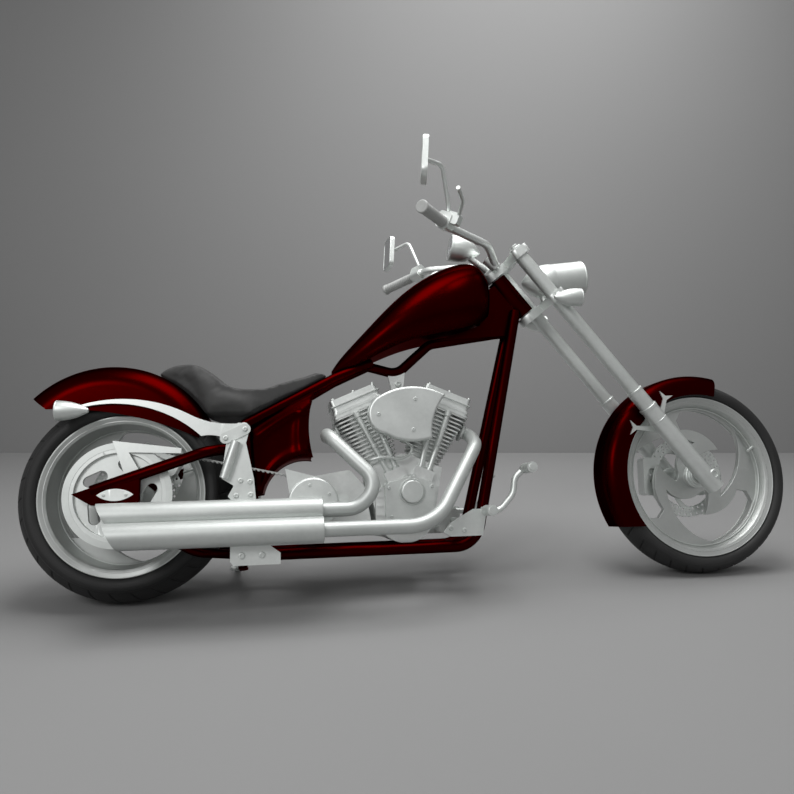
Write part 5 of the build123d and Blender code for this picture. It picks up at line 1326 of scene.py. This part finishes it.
@dataclass
class EngineTrim:
    """Rocker gaskets and screws, pushrod collars, tappet blocks, oil pump, cam ring and oil line."""

    crank: Flat = (882.0, 254.0)
    bank_angle: float = 22.5
    rocker_top: float = 436.0
    rocker_screws: tuple = (-70.0, 4.0, 76.0)
    rocker_half: float = 60.0
    gasket: Flat = (180.0, 146.0)
    gaskets: tuple = ((384.0, 2.5, 2.4), (412.0, 2.5, 2.4), (371.0, 5.0, 5.0))
    head_foot: float = 370.0
    pushrod_y: float = -85.0
    pushrods: tuple = (
        (-1, (838.0, 362.0), -20.0),
        (-1, (862.0, 372.0), 34.0),
        (1, (930.0, 372.0), -34.0),
        (1, (954.0, 362.0), 20.0),
    )
    pushrod_bore: float = 8.5
    cam_nose: Point = (900.0, -114.0, 318.0)
    oil_line: tuple = (
        (761.0, -60.0, 420.0), (766.0, -96.0, 424.0), (811.0, -108.0, 433.0), (866.0, -108.0, 428.0),
        (898.0, -104.0, 442.0), (906.0, -100.0, 464.0), (891.0, -92.0, 480.0), (878.0, -60.0, 490.0),
    )
    oil_line_radius: float = 5.0
    tappets: tuple = ((-1, 851.0, 371.0), (1, 941.0, 371.0))
    tappet_size: Flat = (68.0, 46.0)
    tappet_y: Flat = (-79.0, -102.0)
    pump: Flat = (796.0, 277.0)
    pump_size: Flat = (32.0, 118.0)
    pump_y: Flat = (-79.0, -104.0)

    def bank(self, side: int) -> tuple[np.ndarray, np.ndarray]:
        """A cylinder bank's directions, across and up."""
        sin, cos = math.sin(math.radians(self.bank_angle)), math.cos(math.radians(self.bank_angle))
        return np.array([cos, 0, -side * sin]), np.array([side * sin, 0, cos])

    def bank_point(self, side: int, along: float, y: float, up: float) -> np.ndarray:
        """Point in a cylinder bank's directions."""
        first, third = self.bank(side)
        return at_side(self.crank, y) + along * first + up * third

    def add_blocks(self, shape: Shape, screws: Shape) -> None:
        """Tappet blocks that the pushrod tubes stand in, and the oil pump's body beside the cam cover.

        Each is a rectangle with round corners, given a depth away from the crankcase.

        Args:
            shape: what the blocks are added to.
            screws: what their screws are added to.
        """
        inner, outer = self.tappet_y
        wide, tall = self.tappet_size
        for side, x, z in self.tappets:
            first, third = self.bank(side)
            shape.plate(rounded(wide, tall, 6), (x, inner, z), first, third, inner - outer)
            low = np.array([x, outer, z]) - 12 * third
            screws.bolts([low + way * (wide / 2 - 8) * first for way in SIDES], RIGHT, 4.5, 4.0)
        inner, outer = self.pump_y
        x, z = self.pump
        wide, tall = self.pump_size
        shape.plate(rounded(wide, tall, 7), (x, inner, z), AHEAD, UP, inner - outer)
        for row in (-1, 0, 1):
            rib = (x, outer + 1, z + row * tall / 4)
            shape.plate(rounded(wide - 8, 7, 3), rib, AHEAD, UP, 4.0)
        screws.bolts([(x, outer, z + way * (tall / 2 - 9)) for way in SIDES], RIGHT, 4.5, 4.0)
        nut = [(-2, 9), (10, 9), (12, 7), (12, 0)]
        shape.turned(nut, (x, (inner + outer) / 2, z + tall / 2), UP, 6)

    def add_collars(self, shape: Shape) -> None:
        """Three collars on each pushrod tube: at its foot, near its middle and under the head."""
        for side, foot, along in self.pushrods:
            start = at_side(foot, self.pushrod_y)
            run = self.bank_point(side, along, self.pushrod_y, self.head_foot) - start
            length = np.linalg.norm(run)
            for at, size, radius in ((8, 26, 13.0), (0.46 * length, 12, 10.6), (length - 22, 20, 12.5)):
                shape.turned(band(at, size, radius, self.pushrod_bore), start, run, 28)

    def build(self) -> None:
        """Dress both banks, then the covers between them."""
        screws, gaskets, collars, blocks = Shape(), Shape(), Shape(), Shape()
        wide, deep = self.gasket
        for side in SIDES:
            first, third = self.bank(side)
            for along in self.rocker_screws:
                for way in SIDES:
                    head = self.bank_point(side, along, way * self.rocker_half, self.rocker_top)
                    screws.bolts([head], third, 6.5, 6.0)
            for up, depth, grow in self.gaskets:
                outline = rounded(wide + grow, deep + grow, 10)
                gaskets.plate(outline, self.bank_point(side, 0, 0, up), first, np.cross(third, first), depth)
        self.add_collars(collars)
        self.add_blocks(blocks, screws)
        nose = [(0, 44), (1.5, 44), (3, 42.5), (3, 39), (0, 38)]
        collars.turned(nose, self.cam_nose, RIGHT, 72)
        collars.bar(curve(self.oil_line, 60), circle(self.oil_line_radius, 12), (0.1, 0.9, 0.4))
        blocks.make("tappet_blocks", Body.CHASSIS, CAST_SILVER, SILVER, 30.0)
        screws.make("rocker_screws", Body.CHASSIS, POLISHED, SILVER, 30.0)
        gaskets.make("rocker_gaskets", Body.CHASSIS, SATIN_SILVER, SILVER)
        collars.make("engine_collars", Body.CHASSIS, POLISHED, SILVER)


@dataclass
class ExhaustTrim:
    """Near-black liners that paint the shade deep in the muffler ends, rolled front edges and port flanges.
    """

    mufflers: tuple = ((-246.0, 269.0), (-300.0, 212.0))
    bore: float = 33.0
    front: float = 600.0
    liner_end: float = 181.0
    liner_mouth: float = 62.0
    port: Point = (90.0, -15.0, 330.0)

    def build(self) -> None:
        """Line each bore with painted shade, ring each muffler and seat each header on its port."""
        liners, rings = Shape(), Shape()
        deep, near, bore = self.liner_end, self.liner_mouth, self.bore
        skin, inside = bore - 0.1, bore - 0.4
        liner = [(deep - 0.4, 0), (deep - 0.4, bore - 1.4), (near, inside), (near, skin)]
        liner += [(deep - 0.1, skin), (deep - 0.1, 0)]
        edge = [(-1, 37.6), (0.6, 38.0), (2.2, 37.4), (3.0, 36.0), (2.6, 34.0), (0.3, 24)]
        for y, z in self.mufflers:
            # The liner's near-black colour is painted shade deep in the bore.
            liners.turned(liner, (0.0, y, z), AHEAD, 64)
            rings.turned(edge, (self.front, y, z), AHEAD, 72)
        engine = EngineTrim()
        along, y, up = self.port
        flange = [(2, 22), (2, 33), (3, 34), (9, 34), (10, 33), (10, 25), (15, 23.5), (15, 22)]
        for side in SIDES:
            first, _ = engine.bank(side)
            rings.turned(flange, engine.bank_point(side, side * along, y, up), side * first, 40)
        liners.make("muffler_liners", Body.CHASSIS, BORE_PAINTED_SHADE)
        rings.make("exhaust_rings", Body.CHASSIS, EXHAUST_SATIN, SILVER)


@dataclass
class ForkTrim:
    """Caps, pinch screws, seals and axle caps on the fork."""

    leg: float = -17.0
    stem: float = -100.0
    half_spacing: float = 108.0
    clamps: Flat = (815.0, 1017.0)
    clamp_height: float = 30.0
    clamp_depth: float = 64.0
    top: float = 1050.0
    foot: float = -46.0
    axle_half: float = 134.0
    seals: tuple = ((312.0, 32.4, 12.0), (389.0, 29.4, 9.0), (262.0, 31.8, 4.0))

    def build(self) -> None:
        """Place the small pieces along both legs."""
        shape = Shape()
        cap = [(-2, 24), (4, 24), (6, 22), (6, 15), (14, 15), (15.5, 13), (15.5, 8), (9, 7), (9, 0)]
        hub = [(-8, 18), (2, 18), (4, 16), (4, 10), (0, 9), (0, 0)]
        plug = [(-1, 22), (4, 21), (6, 18), (6, 8), (3, 7), (3, 0)]
        for way in SIDES:
            y = way * self.half_spacing
            shape.turned(cap, fork_point(self.leg, y, self.top), FORK_UP, 48)
            for at, radius, size in self.seals:
                ring = band(0, size, radius, radius - 5)
                shape.turned(ring, fork_point(self.leg, y, at), FORK_UP, 56)
            for at in self.clamps:
                head = fork_point(self.leg + self.clamp_depth / 2, y + way * 8, at + self.clamp_height / 2)
                shape.bolts([head], FORK_FORWARD, 7.5, 6.0)
            shape.turned(hub, FRONT_AXLE + np.array([0, way * self.axle_half, 0]), (0, way, 0), 40)
            shape.turned(plug, fork_point(self.leg, y, self.foot), -FORK_UP, 32)
        nut = [(0, 28), (9, 28), (12, 25), (12, 13)]
        shape.turned(nut, fork_point(self.stem, 0, self.clamps[1] + self.clamp_height), FORK_UP, 6)
        shape.make("fork_fittings", Body.STEERING, POLISHED, SILVER, 30.0)


@dataclass
class Cockpit:
    """Screws and collars on the hand controls, and the knurled edge of the filler cap."""

    collars: tuple = ((-54.0, 17.0, 6.0), (-2.0, 21.5, 4.0))
    bar_radius: float = 13.8
    control_up: Point = (0.55, 0.0, 0.83)
    cap_place: Point = (1052.0, 38.0, 1088.0)
    cap_axis: Point = (-0.42, 0.3, 0.86)
    cap_radius: float = 26.7
    cap_height: float = 32.0
    knurls: int = 40
    knurl_depth: float = 0.9

    def add_controls(self, shape: Shape, way: int) -> None:
        """Collars round one bar, two screws on its control and the lever's pivot."""
        grips = Grips()
        inner = sided(grips.inner, way)
        out = unit(sided(grips.outer, way) - inner)
        for at, radius, size in self.collars:
            shape.turned(band(at, size, radius, self.bar_radius), inner, out, 40)
        up = squared(self.control_up, out)
        side = way * np.cross(out, up)
        shape.bolts([inner - 12 * out + 36 * up, inner - 38 * out + 36 * up], up, 4.5, 3.0)
        shape.bolts([inner - 24 * out + 43 * up + 34 * side], up, 6.0, 4.0)

    def knurl(self) -> np.ndarray:
        """Grid of the cap's edge, its radius waving round the axis."""
        angle = turn_steps(6 * self.knurls)[:, None]
        axis = unit(self.cap_axis)
        first, second = across(axis)
        ring = np.cos(angle) * first + np.sin(angle) * second
        profile = np.array([(0.50, 0.97), (0.52, 1.0), (0.80, 1.0), (0.84, 0.97)])
        profile = profile * np.array([self.cap_height, self.cap_radius])
        wave = self.knurl_depth * np.maximum(np.cos(self.knurls * angle), -0.2) * np.array([0, 1, 1, 0])
        radius = profile[:, 1] + wave
        return np.array(self.cap_place) + profile[None, :, :1] * axis + radius[..., None] * ring[:, None]

    def build(self) -> None:
        """Dress both hand controls and the filler cap."""
        shape = Shape()
        for way in SIDES:
            self.add_controls(shape, way)
        shape.make("hand_control_screws", Body.STEERING, POLISHED, SILVER, 30.0)
        Shape().grid(self.knurl(), wrap_u=True).make("filler_cap_knurl", Body.CHASSIS, POLISHED, SILVER)


@dataclass
class Studio:
    """Grey floor, plain wall, soft lamps and the camera. The lamps' places are in metres."""

    camera: Point = (506.5, -2209.9, 756.6)
    yaw: float = 0.157048
    pitch: float = 0.050966
    focal_px: float = 681.06
    frame_px: float = 794.0
    sensor: float = 36.0
    wall_distance: float = 5.66
    wall_height: float = 7.0
    stage_half: float = 9.0
    stage_behind: float = 4.0
    floor_shade: float = 0.29
    wall_shade: float = 0.26
    sky_shade: float = 0.6
    sky_strength: float = 0.55
    lamps: tuple = (
        ("key_lamp", (-0.1, -0.5, 3.5), (0, 0, 0.3), 2.0, 72),
        ("fill_lamp", (-2.7, -3.7, 3.1), (0, 0, 0.5), 1.4, 55),
        ("wall_lamp", (1.1, 1.4, 4.6), (1.1, 3.4, 2.4), 3.4, 100),
    )

    def surface(self, name: str, shade: float, corners: list[np.ndarray]) -> None:
        """Plain stage surface of one shade, with a trace of variation."""
        mesh = bpy.data.meshes.new(name)
        mesh.from_pydata(np.array(corners).tolist(), [], [[0, 1, 2, 3]])
        piece = bpy.data.objects.new(name, mesh)
        bpy.context.scene.collection.objects.link(piece)
        dark, light = (shade,) * 3, (shade * 1.02,) * 3
        finish = Finish(f"{name}_paint", dark, light, rough=(0.85, 0.9), scale=1.0, relief=0.0)
        mesh.materials.append(finish.material())

    def lamp(self, name: str, place: Point, aim: Point, size: float, power: float) -> None:
        """Square soft lamp that looks at a point."""
        data = bpy.data.lights.new(name, "AREA")
        data.shape = "SQUARE"
        data.size = size
        data.energy = power
        lamp = bpy.data.objects.new(name, data)
        bpy.context.scene.collection.objects.link(lamp)
        view = unit(np.array(aim) - np.array(place))
        lamp.location = place
        lamp.rotation_euler = (math.acos(-view[2]), 0, math.atan2(view[1], view[0]) - math.pi / 2)

    def build(self) -> None:
        """Set the stage and look at the machine from the photograph's side."""
        scene = bpy.context.scene
        scene.view_settings.view_transform = "Standard"
        eye = np.array(self.camera) / 1000 + np.array([PARK.shift_x, PARK.shift_y, 0])
        ahead = np.array([math.sin(self.yaw), math.cos(self.yaw), 0.0])
        half = self.stage_half * np.array([math.cos(self.yaw), -math.sin(self.yaw), 0.0])
        foot = np.array([eye[0], eye[1], 0.0])
        near, wall = foot - self.stage_behind * ahead, foot + self.wall_distance * ahead
        tall = np.array([0, 0, self.wall_height])
        left, right = wall - half, wall + half
        self.surface("floor", self.floor_shade, [near - half, near + half, right, left])
        self.surface("wall", self.wall_shade, [left, right, right + tall, left + tall])
        data = bpy.data.cameras.new("camera")
        data.lens = self.focal_px / self.frame_px * self.sensor
        data.sensor_width = self.sensor
        camera = bpy.data.objects.new("camera", data)
        scene.collection.objects.link(camera)
        camera.location = eye
        camera.rotation_euler = (math.pi / 2 - self.pitch, 0, -self.yaw)
        scene.camera = camera
        world = bpy.data.worlds.new("studio")
        world.use_nodes = True
        sky = world.node_tree.nodes["Background"]
        sky.inputs["Color"].default_value = (*(self.sky_shade,) * 3, 1)
        sky.inputs["Strength"].default_value = self.sky_strength
        scene.world = world
        for name, place, aim, size, power in self.lamps:
            self.lamp(name, place, aim, size, power)


REAR_TYRE = Tyre(
    "rear_tyre", Body.REAR_WHEEL, REAR_AXLE, radius=328.0, tread_half=106.0, tread_edge=288.0,
    side_half=125.0, side_radius=268.0, bead_half=110.0, seat=229.5, lip=246.0, sipes=30,
)
FRONT_TYRE = Tyre(
    "front_tyre", Body.FRONT_WHEEL, FRONT_AXLE, radius=344.5, tread_half=54.0, tread_edge=325.0,
    side_half=65.0, side_radius=306.0, bead_half=49.5, seat=267.0, lip=285.5, sipes=34,
)


def main() -> None:
    """Build the studio and every sub-assembly, and report each."""
    logging.basicConfig(level=logging.INFO, format="%(message)s")
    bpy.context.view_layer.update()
    Studio().build()
    dress_nodes()
    for assembly in (
        REAR_TYRE, FRONT_TYRE, Belt(), BrakeDiscs(), WheelTrim(), EngineTrim(), ExhaustTrim(), ForkTrim(),
        Cockpit(), TankPanels(), Seat(), Lamps(), Speedometer(), MirrorGlasses(), Grips(), Fasteners(),
    ):
        assembly.build()
        LOG.info("%s built", type(assembly).__name__)


if __name__ == "__main__":
    main()
